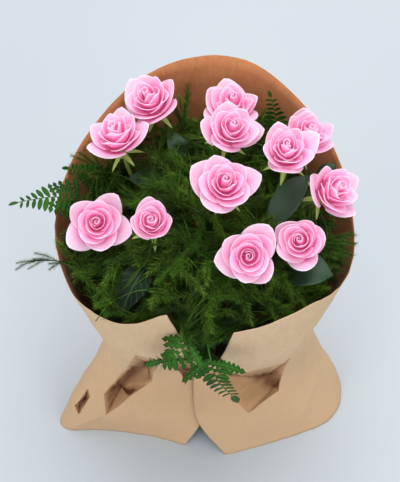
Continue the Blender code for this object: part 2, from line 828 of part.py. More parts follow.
def make_binding(stems, finish):
    """Makes the twine binding: a ribbed band that follows the outline of the stems."""
    bm = bmesh.new()
    bottom = BINDING_Z - BINDING_HEIGHT / 2.0
    outer = (0.0, 1.0, 0.4, 1.0, 0.0)
    rings = [(bottom + BINDING_HEIGHT * step / 4.0, share) for step, share in enumerate(outer)]
    rings.append((bottom + BINDING_HEIGHT, None))
    rings.append((bottom, None))
    loops = []
    for height, share in rings:
        loop = []
        for step in range(BINDING_SIDES):
            angle = math.tau * step / BINDING_SIDES
            way = Vector((math.cos(angle), math.sin(angle), 0.0))
            reach = bunch_radius(stems, way, bottom)
            if share is not None:
                reach += BINDING_THICKNESS * (0.6 + 0.4 * share)
            loop.append(bm.verts.new(way * reach + Vector((0.0, 0.0, height))))
        loops.append(loop)
    for low, high in zip(loops, loops[1:] + loops[:1]):
        for step in range(BINDING_SIDES):
            after = (step + 1) % BINDING_SIDES
            bm.faces.new((low[step], low[after], high[after], high[step]))
    return to_object("twine_binding", bm, finish)


def bunch_radius(stems, way, bottom):
    """Returns how far the band's inside stands from the middle, clear of every stem."""
    reach = 0.0
    for stem in stems:
        for share in (0.0, 0.25, 0.5, 0.75, 1.0):
            centre = stem.at(bottom + BINDING_HEIGHT * share)
            along = (stem.at(bottom + BINDING_HEIGHT) - stem.at(bottom)).normalized()
            spread = stem.radius / abs(along.z)
            for turn in range(12):
                angle = math.tau * turn / 12
                edge = centre + Vector((math.cos(angle), math.sin(angle), 0.0)) * spread
                flat = Vector((edge.x, edge.y, 0.0))
                across = abs(flat.cross(way).z)
                if flat.dot(way) > 0.0 and across < flat.length * math.sin(math.radians(9.0)):
                    reach = max(reach, flat.length)
    return reach + GAP


def main():
    """Builds the bouquet."""
    clean_scene()
    pink = material("rose_petal", (0.86, 0.29, 0.47), 0.55)
    green = material("rose_green", (0.16, 0.27, 0.07), 0.5)
    fern = material("fern_green", (0.04, 0.14, 0.02), 0.6)
    frond_green = material("frond_green", (0.02, 0.12, 0.02), 0.5)
    leaf_green = material("leaf_green", (0.015, 0.06, 0.025), 0.3)
    kraft = material("kraft_paper", (0.56, 0.40, 0.26), 0.85)
    twine = material("twine", (0.45, 0.33, 0.18), 0.9)
    chance = random.Random(SEED)
    room = Room()

    rose_ways = [Stem(rose_stem_target(rose), ROSE_STEM_RADIUS) for rose in ROSES]
    spray_ways = [Stem(spray.root, SPRAY_STEM_RADIUS) for spray in SPRAYS]
    frond_ways = [Stem(frond.places[0], FROND_STEM_RADIUS) for frond in FRONDS]
    branch_ways = [Stem(branch.root, BRANCH_STEM_RADIUS) for branch in BRANCHES]
    stems = rose_ways + branch_ways + frond_ways + spray_ways
    stems[0].spot = 0j
    pack_at_binding(stems)
    nearest = min(rose_ways[1:], key=lambda way: (way.at(0.0) - FRONT_FOOT).length)
    nearest.foot = FRONT_FOOT

    make_binding(stems, twine)
    room.add(make_paper(kraft))
    for index, (rose, way) in enumerate(zip(ROSES, rose_ways), start=1):
        name = f"rose_{index:02d}"
        room.add(make_bloom(name + "_bloom", rose, pink))
        room.add(make_rose_stem(name + "_stem", rose, way, green))
    for index, (branch, way) in enumerate(zip(BRANCHES, branch_ways), start=1):
        room.add(make_branch(f"leaf_branch_{index:02d}", branch, way, leaf_green))
    for index, (frond, way) in enumerate(zip(FRONDS, frond_ways), start=1):
        room.add(make_frond(f"frond_{index:02d}", frond, way, frond_green))
    bare = []
    for index, (spray, way) in enumerate(zip(SPRAYS, spray_ways), start=1):
        thing = bare_spray(f"fern_spray_{index:02d}", spray, way, fern)
        room.add(thing)
        bare.append(thing)
    for thing, spray, way in zip(bare, SPRAYS, spray_ways):
        room.add(finish_spray(thing, spray, way, chance, fern, room))


main()
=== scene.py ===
"""The looks of a bouquet of twelve roses, tied by hand and wrapped in kraft paper.

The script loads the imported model, stands a finely modelled piece in the place of each of its
plain solids, and gives every piece a procedural finish. Places in the tables below are
millimetres in the model's frame: +X is the viewer's right, +Y is away from the viewer, and the
floor is at 0. A mesh is made in millimetres and turned into metres once, when it is done.
"""

import logging
import math
import random
from abc import ABC, abstractmethod
from collections.abc import Callable, Sequence
from dataclasses import dataclass, field
from enum import Enum
from typing import ClassVar

import bmesh
import bpy
from mathutils import Matrix, Vector, noise
from mathutils.bvhtree import BVHTree


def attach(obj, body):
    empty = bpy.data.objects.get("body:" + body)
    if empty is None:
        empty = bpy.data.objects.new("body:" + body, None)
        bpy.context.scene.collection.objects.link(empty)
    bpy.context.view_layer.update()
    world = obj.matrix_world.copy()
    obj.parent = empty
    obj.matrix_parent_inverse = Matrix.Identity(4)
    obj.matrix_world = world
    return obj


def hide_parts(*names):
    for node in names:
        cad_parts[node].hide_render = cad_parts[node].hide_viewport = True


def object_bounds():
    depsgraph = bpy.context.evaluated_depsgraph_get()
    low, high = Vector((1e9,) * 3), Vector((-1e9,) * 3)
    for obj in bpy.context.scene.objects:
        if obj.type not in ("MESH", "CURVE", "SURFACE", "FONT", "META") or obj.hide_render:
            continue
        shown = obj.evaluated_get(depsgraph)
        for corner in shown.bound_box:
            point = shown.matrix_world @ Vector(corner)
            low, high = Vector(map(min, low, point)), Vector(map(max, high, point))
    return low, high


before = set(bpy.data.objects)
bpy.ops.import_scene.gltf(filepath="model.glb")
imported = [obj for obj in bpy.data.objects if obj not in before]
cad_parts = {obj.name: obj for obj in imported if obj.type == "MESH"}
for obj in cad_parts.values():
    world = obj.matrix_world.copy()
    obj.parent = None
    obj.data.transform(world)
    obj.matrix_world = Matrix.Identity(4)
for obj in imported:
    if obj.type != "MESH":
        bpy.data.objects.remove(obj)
CAD_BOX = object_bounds()

MM = 0.001
GOLDEN_ANGLE = math.radians(137.5)
BODY = "root"

log = logging.getLogger("bouquet")

Colour = tuple[float, float, float]
Point = tuple[float, float, float]


# Curves and small helpers


def srgb(red: float, green: float, blue: float) -> Colour:
    """Turns a colour of 0 to 255 steps, as a screen shows it, into linear light.

    Args:
        red: The red part.
        green: The green part.
        blue: The blue part.

    Returns:
        The three parts in linear light.
    """
    parts = (step / 255.0 for step in (red, green, blue))
    return tuple(p / 12.92 if p <= 0.04045 else ((p + 0.055) / 1.055) ** 2.4 for p in parts)


def smooth(low: float, high: float, value: float) -> float:
    """Rises smoothly from 0 at one value to 1 at another.

    Args:
        low: Where the rise begins.
        high: Where it ends.
        value: The place that is asked for.

    Returns:
        The share of the rise, from 0 to 1.
    """
    share = min(max((value - low) / (high - low), 0.0), 1.0)
    return share * share * (3.0 - 2.0 * share)


def bezier(points: Sequence[Vector], share: float) -> Vector:
    """Finds a point on a curve of any degree.

    Args:
        points: The curve's control points.
        share: The share of the way along it.

    Returns:
        The point there.
    """
    while len(points) > 1:
        points = [one.lerp(two, share) for one, two in zip(points, points[1:])]
    return points[0]


def spline(values: Sequence, place: float):
    """Finds a value on a smooth curve through evenly spaced values.

    Args:
        values: The values, as numbers or vectors.
        place: The place along them, where 1 is the second value.

    Returns:
        The value there.
    """
    last = len(values) - 1
    index = min(int(place), last - 1)
    share = place - index
    one, two = values[index], values[index + 1]
    before = values[index - 1] if index else one * 2.0 - two
    after = values[index + 2] if index + 2 <= last else two * 2.0 - one
    slope_one, slope_two = (two - before) / 2.0, (after - one) / 2.0
    return (one * (2.0 * share ** 3 - 3.0 * share ** 2 + 1.0)
            + slope_one * (share ** 3 - 2.0 * share ** 2 + share)
            + two * (3.0 * share ** 2 - 2.0 * share ** 3)
            + slope_two * (share ** 3 - share ** 2))


def even_path(places: Sequence[Vector], spacing: float) -> list[Vector]:
    """Lays evenly spaced points on a smooth curve through some places.

    Args:
        places: The places that the curve passes.
        spacing: The distance from point to point, about.

    Returns:
        The points, from the first place to the last.
    """
    dense = [spline(places, index / 12.0) for index in range(12 * (len(places) - 1) + 1)]
    length = sum((two - one).length for one, two in zip(dense, dense[1:]))
    count = max(round(length / spacing), 2)
    points = [dense[0]]
    gone = 0.0
    for one, two in zip(dense, dense[1:]):
        step = (two - one).length
        while len(points) < count and gone + step >= length * len(points) / count:
            points.append(one.lerp(two, (length * len(points) / count - gone) / step))
        gone += step
    points.append(dense[-1])
    return points


# Shader maths


class Value:
    """The output of a shader node, which Python's own operators work on."""

    def __init__(self, recipe: "Recipe", socket: bpy.types.NodeSocket) -> None:
        """Wraps a socket of a recipe's node tree."""
        self.recipe = recipe
        self.socket = socket

    def __add__(self, other: "Value | float") -> "Value":
        """Adds."""
        return self.recipe.math("ADD", self, other)

    def __sub__(self, other: "Value | float") -> "Value":
        """Subtracts the other value."""
        return self.recipe.math("SUBTRACT", self, other)

    def __rsub__(self, other: float) -> "Value":
        """Subtracts this value from a number."""
        return self.recipe.math("SUBTRACT", other, self)

    def __mul__(self, other: "Value | float") -> "Value":
        """Multiplies."""
        return self.recipe.math("MULTIPLY", self, other)

    def __pow__(self, power: float) -> "Value":
        """Raises to a power."""
        return self.recipe.math("POWER", self, power)

    __radd__ = __add__

    def ramp(self, low: float, high: float) -> "Value":
        """Rises smoothly from 0 to 1 while this value goes from low to high."""
        return self.recipe.node("ShaderNodeMapRange", {"interpolation_type": "SMOOTHSTEP"},
                                {"Value": self, "From Min": low, "From Max": high})


class Recipe:
    """A material whose nodes are made one by one, round a Principled shader."""

    def __init__(self, name: str) -> None:
        """Starts an empty recipe."""
        self.material = bpy.data.materials.new(name)
        self.material.use_nodes = True
        self.tree = self.material.node_tree
        self.shader = self.tree.nodes["Principled BSDF"]

    def node(self, kind: str, settings: dict, inputs: dict, output: int | str = 0) -> Value:
        """Adds a node of any type.

        Args:
            kind: The node's type.
            settings: Its own settings, which are set first.
            inputs: The numbers, colours or values that go into its sockets.
            output: The socket that comes out.

        Returns:
            The chosen output.
        """
        made = self.tree.nodes.new(kind)
        for key, value in settings.items():
            setattr(made, key, value)
        for key, value in inputs.items():
            if isinstance(value, Value):
                self.tree.links.new(value.socket, made.inputs[key])
            else:
                made.inputs[key].default_value = value
        return Value(self, made.outputs[output])

    def math(self, operation: str, one: Value | float, two: Value | float) -> Value:
        """Adds a Math node for an operator."""
        return self.node("ShaderNodeMath", {"operation": operation}, {0: one, 1: two})

    def mix(self, share: Value | float, one: Value | Colour, two: Value | Colour) -> Value:
        """Mixes two colours by a share."""
        colours = [value if isinstance(value, Value) else (*value, 1.0) for value in (one, two)]
        return self.node("ShaderNodeMix", {"data_type": "RGBA"},
                         {0: share, 6: colours[0], 7: colours[1]}, 2)

    def blotches(self, scale: float, detail: float = 2.0, stretch: Point = (1.0, 1.0, 1.0),
                 on: str = "Object") -> Value:
        """Gives a noise of about 0 to 1 over the surface.

        Args:
            scale: How many blotches there are to a metre, or to a UV unit.
            detail: How fine the noise goes.
            stretch: The scale of each axis.
            on: The coordinates that it lies on, Object or UV.

        Returns:
            The noise.
        """
        place = self.node("ShaderNodeTexCoord", {}, {}, on)
        mapped = self.node("ShaderNodeMapping", {}, {"Vector": place, "Scale": stretch})
        grain = self.node("ShaderNodeTexNoise", {}, {"Vector": mapped, "Scale": scale,
                                                     "Detail": detail})
        return grain.ramp(0.25, 0.75)

    def attribute(self, name: str) -> Value:
        """Reads a number that the mesh carries."""
        return self.node("ShaderNodeAttribute", {"attribute_name": name}, {}, "Fac")

    def along(self) -> Value:
        """Reads how far along its own blade a point lies, from 0 to 1."""
        place = self.node("ShaderNodeTexCoord", {}, {}, "UV")
        return self.node("ShaderNodeSeparateXYZ", {}, {"Vector": place}, "Y")

    def aside(self) -> Value:
        """Reads how far from its blade's midrib a point lies, from 0 to 1."""
        place = self.node("ShaderNodeTexCoord", {}, {}, "UV")
        across = self.node("ShaderNodeSeparateXYZ", {}, {"Vector": place}, "X")
        return self.math("ABSOLUTE", across * 2.0 - 1.0, 0.0)

    def set(self, **sockets: float | Colour) -> None:
        """Sets the shader's own sockets to what is the same all over the surface."""
        for name, value in sockets.items():
            label = name.replace("_", " ").title().replace("Ior", "IOR")
            self.shader.inputs[label].default_value = value

    def dress(self, colour: Value, roughness: Value, height: Value, depth: float
              ) -> bpy.types.Material:
        """Plugs what varies over the surface into the shader.

        Args:
            colour: The base colour.
            roughness: The roughness.
            height: The height of the fine relief, from 0 to 1.
            depth: How deep that relief is, in metres.

        Returns:
            The finished material.
        """
        bump = self.node("ShaderNodeBump", {}, {"Height": height, "Distance": depth}, "Normal")
        for label, value in (("Base Color", colour), ("Roughness", roughness), ("Normal", bump)):
            self.tree.links.new(value.socket, self.shader.inputs[label])
        return self.material


# Finishes


@dataclass(frozen=True)
class PetalFinish:
    """The satin of a petal: painted shade of deep pink where it is tucked in, pale at its rolled rim,
    and a painted pink glow.
    """

    # deep: painted shade, the deep pink of the tucked-in depths
    deep: Colour = srgb(222, 96, 152)
    body: Colour = srgb(234, 150, 190)
    pale: Colour = srgb(237, 188, 213)
    rim: Colour = srgb(240, 208, 226)
    # the colour of the petals' painted glow, which is no lamp
    painted_glow: Colour = srgb(216, 108, 158)

    def make(self) -> bpy.types.Material:
        """Makes the material."""
        recipe = Recipe("rose_petal")
        along = recipe.along()
        order = recipe.attribute("order")
        veins = recipe.blotches(9.0, 3.0, (7.0, 0.7, 1.0), "UV")
        mottle = recipe.blotches(140.0, 2.0)
        # painted shade: deep pink low on each petal, deeper on the inner petals
        reach = along + order * 0.10 + (veins - 0.5) * 0.05
        inner = recipe.mix(reach.ramp(0.30, 0.78), self.deep, self.body)
        outer = recipe.mix(reach.ramp(0.70, 1.0), inner, self.pale)
        edge = recipe.mix(along.ramp(0.84, 0.97) * (0.25 + order * 0.5), outer, self.rim)
        colour = recipe.mix(mottle * 0.12, edge, self.body)
        # the emission paints a soft pink glow, standing in for light that passes between the petals
        recipe.set(subsurface_weight=0.55, subsurface_radius=(1.0, 0.4, 0.6),
                   subsurface_scale=0.004, specular_ior_level=0.3, emission_strength=0.165)
        painted_glow = recipe.mix(along.ramp(0.25, 0.95), self.painted_glow, self.body)
        recipe.tree.links.new(painted_glow.socket, recipe.shader.inputs["Emission Color"])
        return recipe.dress(colour, 0.46 + veins * 0.12, veins, 0.00012)


@dataclass(frozen=True)
class StemFinish:
    """The skin of a rose's stem, hip and sepals: yellow green, with a brown flush."""

    green: Colour = srgb(98, 128, 52)
    light: Colour = srgb(158, 184, 92)
    flush: Colour = srgb(112, 74, 44)

    def make(self) -> bpy.types.Material:
        """Makes the material."""
        recipe = Recipe("rose_green")
        young = recipe.attribute("order")
        patches = recipe.blotches(22.0, 3.0)
        streaks = recipe.blotches(420.0, 2.0, (1.0, 1.0, 0.12))
        skin = recipe.mix(patches.ramp(0.45, 1.0) * 0.8, self.green, self.flush)
        colour = recipe.mix(young * 0.85, recipe.mix(streaks * 0.4, skin, self.light), self.light)
        recipe.set(subsurface_weight=0.08, subsurface_scale=0.001)
        return recipe.dress(colour, 0.38 + streaks * 0.2, streaks, 0.0001)


@dataclass(frozen=True)
class NeedleFinish:
    """The soft green of asparagus needles, fresher towards the tips of the sprays."""

    dark: Colour = srgb(5, 28, 2)
    green: Colour = srgb(38, 88, 8)
    fresh: Colour = srgb(164, 212, 68)

    def make(self) -> bpy.types.Material:
        """Makes the material."""
        recipe = Recipe("fern_green")
        young = recipe.attribute("order")
        clumps = recipe.blotches(26.0, 2.0)
        fine = recipe.blotches(900.0, 1.0)
        base = recipe.mix(clumps, self.dark, self.green)
        colour = recipe.mix(young * (0.25 + clumps * 0.55 + fine * 0.2), base, self.fresh)
        recipe.set(specular_ior_level=0.22)
        return recipe.dress(colour, 0.5 + fine * 0.2, fine, 0.00005)


@dataclass(frozen=True)
class BladeFinish:
    """The leather of a leaf or a frond: a midrib and side veins."""

    name: str
    dark: Colour
    green: Colour
    vein: Colour
    veins: float
    roughness: float
    gloss: float

    def make(self) -> bpy.types.Material:
        """Makes the material."""
        recipe = Recipe(self.name)
        along, aside = recipe.along(), recipe.aside()
        clouds = recipe.blotches(45.0, 3.0)
        wave = recipe.math("SINE", (along + aside * -0.28) * (self.veins * math.tau), 0.0)
        ribs = wave.ramp(0.55, 1.0) * aside.ramp(0.02, 0.2)
        midrib = 1.0 - aside.ramp(0.02, 0.10)
        base = recipe.mix(clouds, self.dark, self.green)
        colour = recipe.mix(ribs * 0.28 + midrib * 0.7, base, self.vein)
        recipe.set(specular_ior_level=self.gloss)
        relief = 1.0 - ribs * 0.6 - midrib * 0.9
        return recipe.dress(colour, self.roughness + clouds * 0.16, relief, 0.0003)


@dataclass(frozen=True)
class KraftFinish:
    """One face of the kraft paper: short fibres, faint streaks and soft handling marks, with painted
    shade that darkens it towards its lower edge and in its pockets' creases.
    """

    name: str
    light: Colour
    dark: Colour
    # shade is the painted shade colour that the face takes towards its lower edge
    shade: Colour
    # fold is the painted shade colour of the deepest pocket creases
    fold: Colour = srgb(94, 55, 26)
    # dim gives the heights, in metres, over which that painted shade fades out upwards
    dim: tuple[float, float] = (0.06, 0.20)

    def make(self) -> bpy.types.Material:
        """Makes the material."""
        recipe = Recipe(self.name)
        fibres = recipe.blotches(520.0, 3.0, (1.0, 1.0, 0.25))
        streaks = recipe.blotches(150.0, 2.0, (1.0, 1.0, 0.05))
        marks = recipe.blotches(11.0, 3.0)
        worn = fibres * 0.35 + streaks * 0.3 + marks * 0.35
        place = recipe.node("ShaderNodeTexCoord", {}, {}, "Object")
        height = recipe.node("ShaderNodeSeparateXYZ", {}, {"Vector": place}, "Z")
        # painted shade: the face darkens towards its lower edge
        low = 1.0 - (height + marks * 0.05).ramp(*self.dim)
        sheet = recipe.mix(low * 0.75, recipe.mix(worn, self.dark, self.light), self.shade)
        # painted shade on the pocket walls: the points' number says how much
        colour = recipe.mix(recipe.attribute("order") ** 1.4, sheet, self.fold)
        recipe.set(specular_ior_level=0.25, sheen_weight=0.05)
        return recipe.dress(colour, 0.78 + marks * 0.14, fibres * 0.6 + streaks * 0.4, 0.00012)


@dataclass(frozen=True)
class TwineFinish:
    """Jute twine, with hairy strands of uneven colour."""

    light: Colour = srgb(198, 166, 112)
    dark: Colour = srgb(136, 102, 58)

    def make(self) -> bpy.types.Material:
        """Makes the material."""
        recipe = Recipe("twine")
        hairs = recipe.blotches(1400.0, 3.0, (1.0, 1.0, 0.4))
        strands = recipe.blotches(160.0, 2.0)
        colour = recipe.mix(hairs * 0.6 + strands * 0.4, self.dark, self.light)
        return recipe.dress(colour, 0.8 + hairs * 0.15, hairs, 0.0003)


@dataclass(frozen=True)
class FloorFinish:
    """The pale matt board under the bouquet."""

    light: Colour = srgb(187, 195, 201)
    dark: Colour = srgb(184, 192, 200)

    def make(self) -> bpy.types.Material:
        """Makes the material."""
        recipe = Recipe("pale_board")
        clouds = recipe.blotches(1.5, 2.0)
        colour = recipe.mix(clouds, self.dark, self.light)
        return recipe.dress(colour, 0.72 + clouds * 0.08, clouds, 0.0)


# Mesh making


class Workpiece:
    """A mesh that is worked in millimetres and becomes one object in metres."""

    def __init__(self, name: str) -> None:
        """Starts an empty mesh with a UV map and a number for each point."""
        self.name = name
        self.bm = bmesh.new()
        self.uv = self.bm.loops.layers.uv.new("UVMap")
        self.order = self.bm.verts.layers.float.new("order")

    def blade(self, place: Callable[[float, float], Vector], columns: int, rows: int,
              order: float = 0.0) -> None:
        """Adds a curved blade, made from a grid.

        Args:
            place: Gives the point for u from -1 to 1 across it and v from 0 to 1 along it.
            columns: The number of faces across.
            rows: The number of faces along.
            order: The number that its points carry.
        """
        made = bmesh.ops.create_grid(self.bm, x_segments=columns, y_segments=rows, size=1.0,
                                     calc_uvs=True)["verts"]
        for vertex in made:
            vertex.co = place(vertex.co.x, (vertex.co.y + 1.0) / 2.0)
            vertex[self.order] = order

    def tube(self, points: Sequence[Vector], radii: Sequence[float], sides: int,
             order: float = 0.0, flat_foot: bool = False) -> None:
        """Adds a tube with closed ends, by extruding its end from point to point.

        Args:
            points: The points along its middle.
            radii: Its radius at each of them.
            sides: The number of its sides.
            order: The number that its points carry.
            flat_foot: Whether its first end is cut level with the floor.
        """
        made = bmesh.ops.create_circle(self.bm, cap_ends=True, segments=sides, radius=1.0)
        corners = made["verts"]
        end = next(face for face in corners[0].link_faces)
        across = Vector((1.0, 0.0, 0.0))
        for index, (point, radius) in enumerate(zip(points, radii)):
            after, before = points[min(index + 1, len(points) - 1)], points[max(index - 1, 0)]
            along = (after - before).normalized()
            across = (across - along * across.dot(along)).normalized()
            if index:
                grown = bmesh.ops.extrude_face_region(self.bm, geom=[end])["geom"]
                if index > 1:
                    bmesh.ops.delete(self.bm, geom=[end], context="FACES_ONLY")
                end = next(item for item in grown if isinstance(item, bmesh.types.BMFace))
                ring = set(end.verts)
                corners = [next(edge.other_vert(corner) for edge in corner.link_edges
                                if edge.other_vert(corner) in ring) for corner in corners]
            for step, corner in enumerate(corners):
                turn = Matrix.Rotation(math.tau * step / sides, 3, along)
                corner.co = point + turn @ across * radius
                corner[self.order] = order
                if flat_foot and index == 0:
                    corner.co -= along * (corner.co.z / along.z)

    def stamp(self, pattern: bpy.types.Mesh, place: Matrix) -> None:
        """Adds a copy of a small mesh, turned and moved into its place."""
        copy = pattern.copy()
        copy.transform(place)
        self.bm.from_mesh(copy)
        bpy.data.meshes.remove(copy)

    def mesh(self) -> bpy.types.Mesh:
        """Turns the work into a mesh, in the unit that it is in, and ends it."""
        mesh = bpy.data.meshes.new(self.name)
        self.bm.to_mesh(mesh)
        self.bm.free()
        return mesh

    def done(self, finishes: Sequence[bpy.types.Material], sharp: float = 180.0
             ) -> bpy.types.Object:
        """Turns the work into an object in metres, and ends it.

        Args:
            finishes: The materials of its faces.
            sharp: The angle, in degrees, past which an edge is sharp.

        Returns:
            The object, at the origin and unscaled.
        """
        bmesh.ops.scale(self.bm, vec=(MM, MM, MM), verts=self.bm.verts)
        mesh = self.mesh()
        mesh.shade_smooth()
        if sharp < 180.0:
            mesh.set_sharp_from_angle(angle=math.radians(sharp))
        for finish in finishes:
            mesh.materials.append(finish)
        thing = bpy.data.objects.new(self.name, mesh)
        bpy.context.scene.collection.objects.link(thing)
        return thing


def thicken(thing: bpy.types.Object, thickness: float, other_face: int = 0) -> None:
    """Gives an open surface a thickness, half on either side.

    Args:
        thing: The object.
        thickness: The thickness in millimetres.
        other_face: How many slots further the finish of its back is.
    """
    wall = thing.modifiers.new("thickness", "SOLIDIFY")
    wall.thickness = thickness * MM
    wall.offset = 0.0
    wall.material_offset = other_face


def stand_for(thing: bpy.types.Object, node: str, slot: str) -> None:
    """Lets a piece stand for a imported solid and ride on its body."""
    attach(thing, BODY)
    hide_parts(node)
    log.info("%s stands for %s: %d faces", thing.name, node, len(thing.data.polygons))


def join(trunk: bpy.types.Object, other: bpy.types.Object) -> None:
    """Adds another object's evaluated mesh to a trunk's, as a part of the same piece."""
    seen = other.evaluated_get(bpy.context.evaluated_depsgraph_get())
    mesh = bpy.data.meshes.new_from_object(seen)
    bm = bmesh.new()
    bm.from_mesh(trunk.data)
    bm.from_mesh(mesh)
    bm.to_mesh(trunk.data)
    bm.free()
    trunk.data.shade_smooth()
    bpy.data.objects.remove(other, do_unlink=True)
    bpy.data.meshes.remove(mesh)


def taper(radius: float, loss: float, count: int) -> list[float]:
    """Lists the radii of a stem that loses a share of its radius over its outer half."""
    return [radius * (1.0 - loss * smooth(0.5, 1.0, index / count)) for index in range(count)]


class Leafy(ABC):
    """A stem with thin blades on it, which are shaped apart and become one piece."""

    slot: ClassVar[str]
    blade_thickness: ClassVar[float] = 0.5

    @abstractmethod
    def shape(self, stem: Workpiece, blades: Workpiece, node: str) -> None:
        """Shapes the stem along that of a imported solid, and the blades that it bears."""

    def build(self, name: str, node: str, finish: bpy.types.Material) -> None:
        """Makes the piece.

        Args:
            name: The piece's name.
            node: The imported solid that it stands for.
            finish: The material of stem and blades.
        """
        stem, blades = Workpiece(name), Workpiece(name + "_blades")
        self.shape(stem, blades, node)
        thing, leaves = stem.done([finish]), blades.done([finish])
        thicken(leaves, self.blade_thickness)
        join(thing, leaves)
        stand_for(thing, node, self.slot)


class Solid:
    """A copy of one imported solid, in millimetres, which is measured and never shown."""

    def __init__(self, node: str) -> None:
        """Copies a node's mesh and joins its loose triangles."""
        self.bm = bmesh.new()
        self.bm.from_mesh(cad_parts[node].data)
        bmesh.ops.scale(self.bm, vec=(1.0 / MM,) * 3, verts=self.bm.verts)
        bmesh.ops.remove_doubles(self.bm, verts=self.bm.verts, dist=0.001)

    def tree(self) -> BVHTree:
        """Returns a tree of its faces, for measuring distances."""
        return BVHTree.FromBMesh(self.bm)

    def centre_line(self, top: float, step: float = 20.0, near: float = 8.0) -> list[Vector]:
        """Finds the middle of a stem by cutting it level at one height after another.

        Args:
            top: The height where the stem's foliage or neck begins.
            step: The distance from cut to cut.
            near: How far a cut's corners may lie from where the stem is expected.

        Returns:
            The middles, from the floor up.
        """
        count = round(top / step)
        heights = [0.4] + [top * index / count for index in range(1, count + 1)]
        line: list[Vector] = []
        for height in heights:
            everything = self.bm.verts[:] + self.bm.edges[:] + self.bm.faces[:]
            cut = bmesh.ops.bisect_plane(self.bm, geom=everything, plane_co=(0.0, 0.0, height),
                                         plane_no=(0.0, 0.0, 1.0))["geom_cut"]
            corners = [item.co for item in cut if isinstance(item, bmesh.types.BMVert)]
            if len(line) > 1:
                ahead = line[-1] + (line[-1] - line[-2])
                corners = [corner for corner in corners if (corner - ahead).length < near]
            if corners:
                line.append(sum(corners, Vector()) / len(corners))
        line[0].z = 0.0
        return line


# The roses


@dataclass(frozen=True)
class Rose:
    """One rose: the middle of its bloom, how its axis leans, how open it is, its turn, and how
    far its outer petals spread."""

    centre: Point
    lean: tuple[float, float]
    openness: float
    turn: float
    spread: float


ROSES = (
    Rose((26, 16, 387), (0.03, -0.24), 0.92, 32, 1.18),
    Rose((50, -53, 356), (-0.03, -0.58), 1.00, 75, 1.04),
    Rose((104, -28, 347), (-0.15, -0.43), 0.80, 140, 1.00),
    Rose((141, 28, 362), (0.54, -0.24), 0.88, 200, 1.05),
    Rose((90, 51, 400), (0.01, -0.14), 0.80, 260, 1.08),
    Rose((116, 94, 373), (0.30, -0.04), 0.64, 310, 1.06),
    Rose((33, 80, 399), (0.16, -0.20), 0.98, 40, 1.00),
    Rose((35, 136, 374), (0.03, -0.01), 1.00, 95, 1.08),
    Rose((-55, 138, 381), (-0.32, -0.08), 0.94, 165, 1.12),
    Rose((-90, 92, 376), (-0.22, 0.09), 0.94, 230, 1.08),
    Rose((-109, 2, 339), (0.03, -0.49), 0.98, 205, 1.08),
    Rose((-50, -17, 365), (-0.01, -0.37), 0.55, 350, 0.92),
)


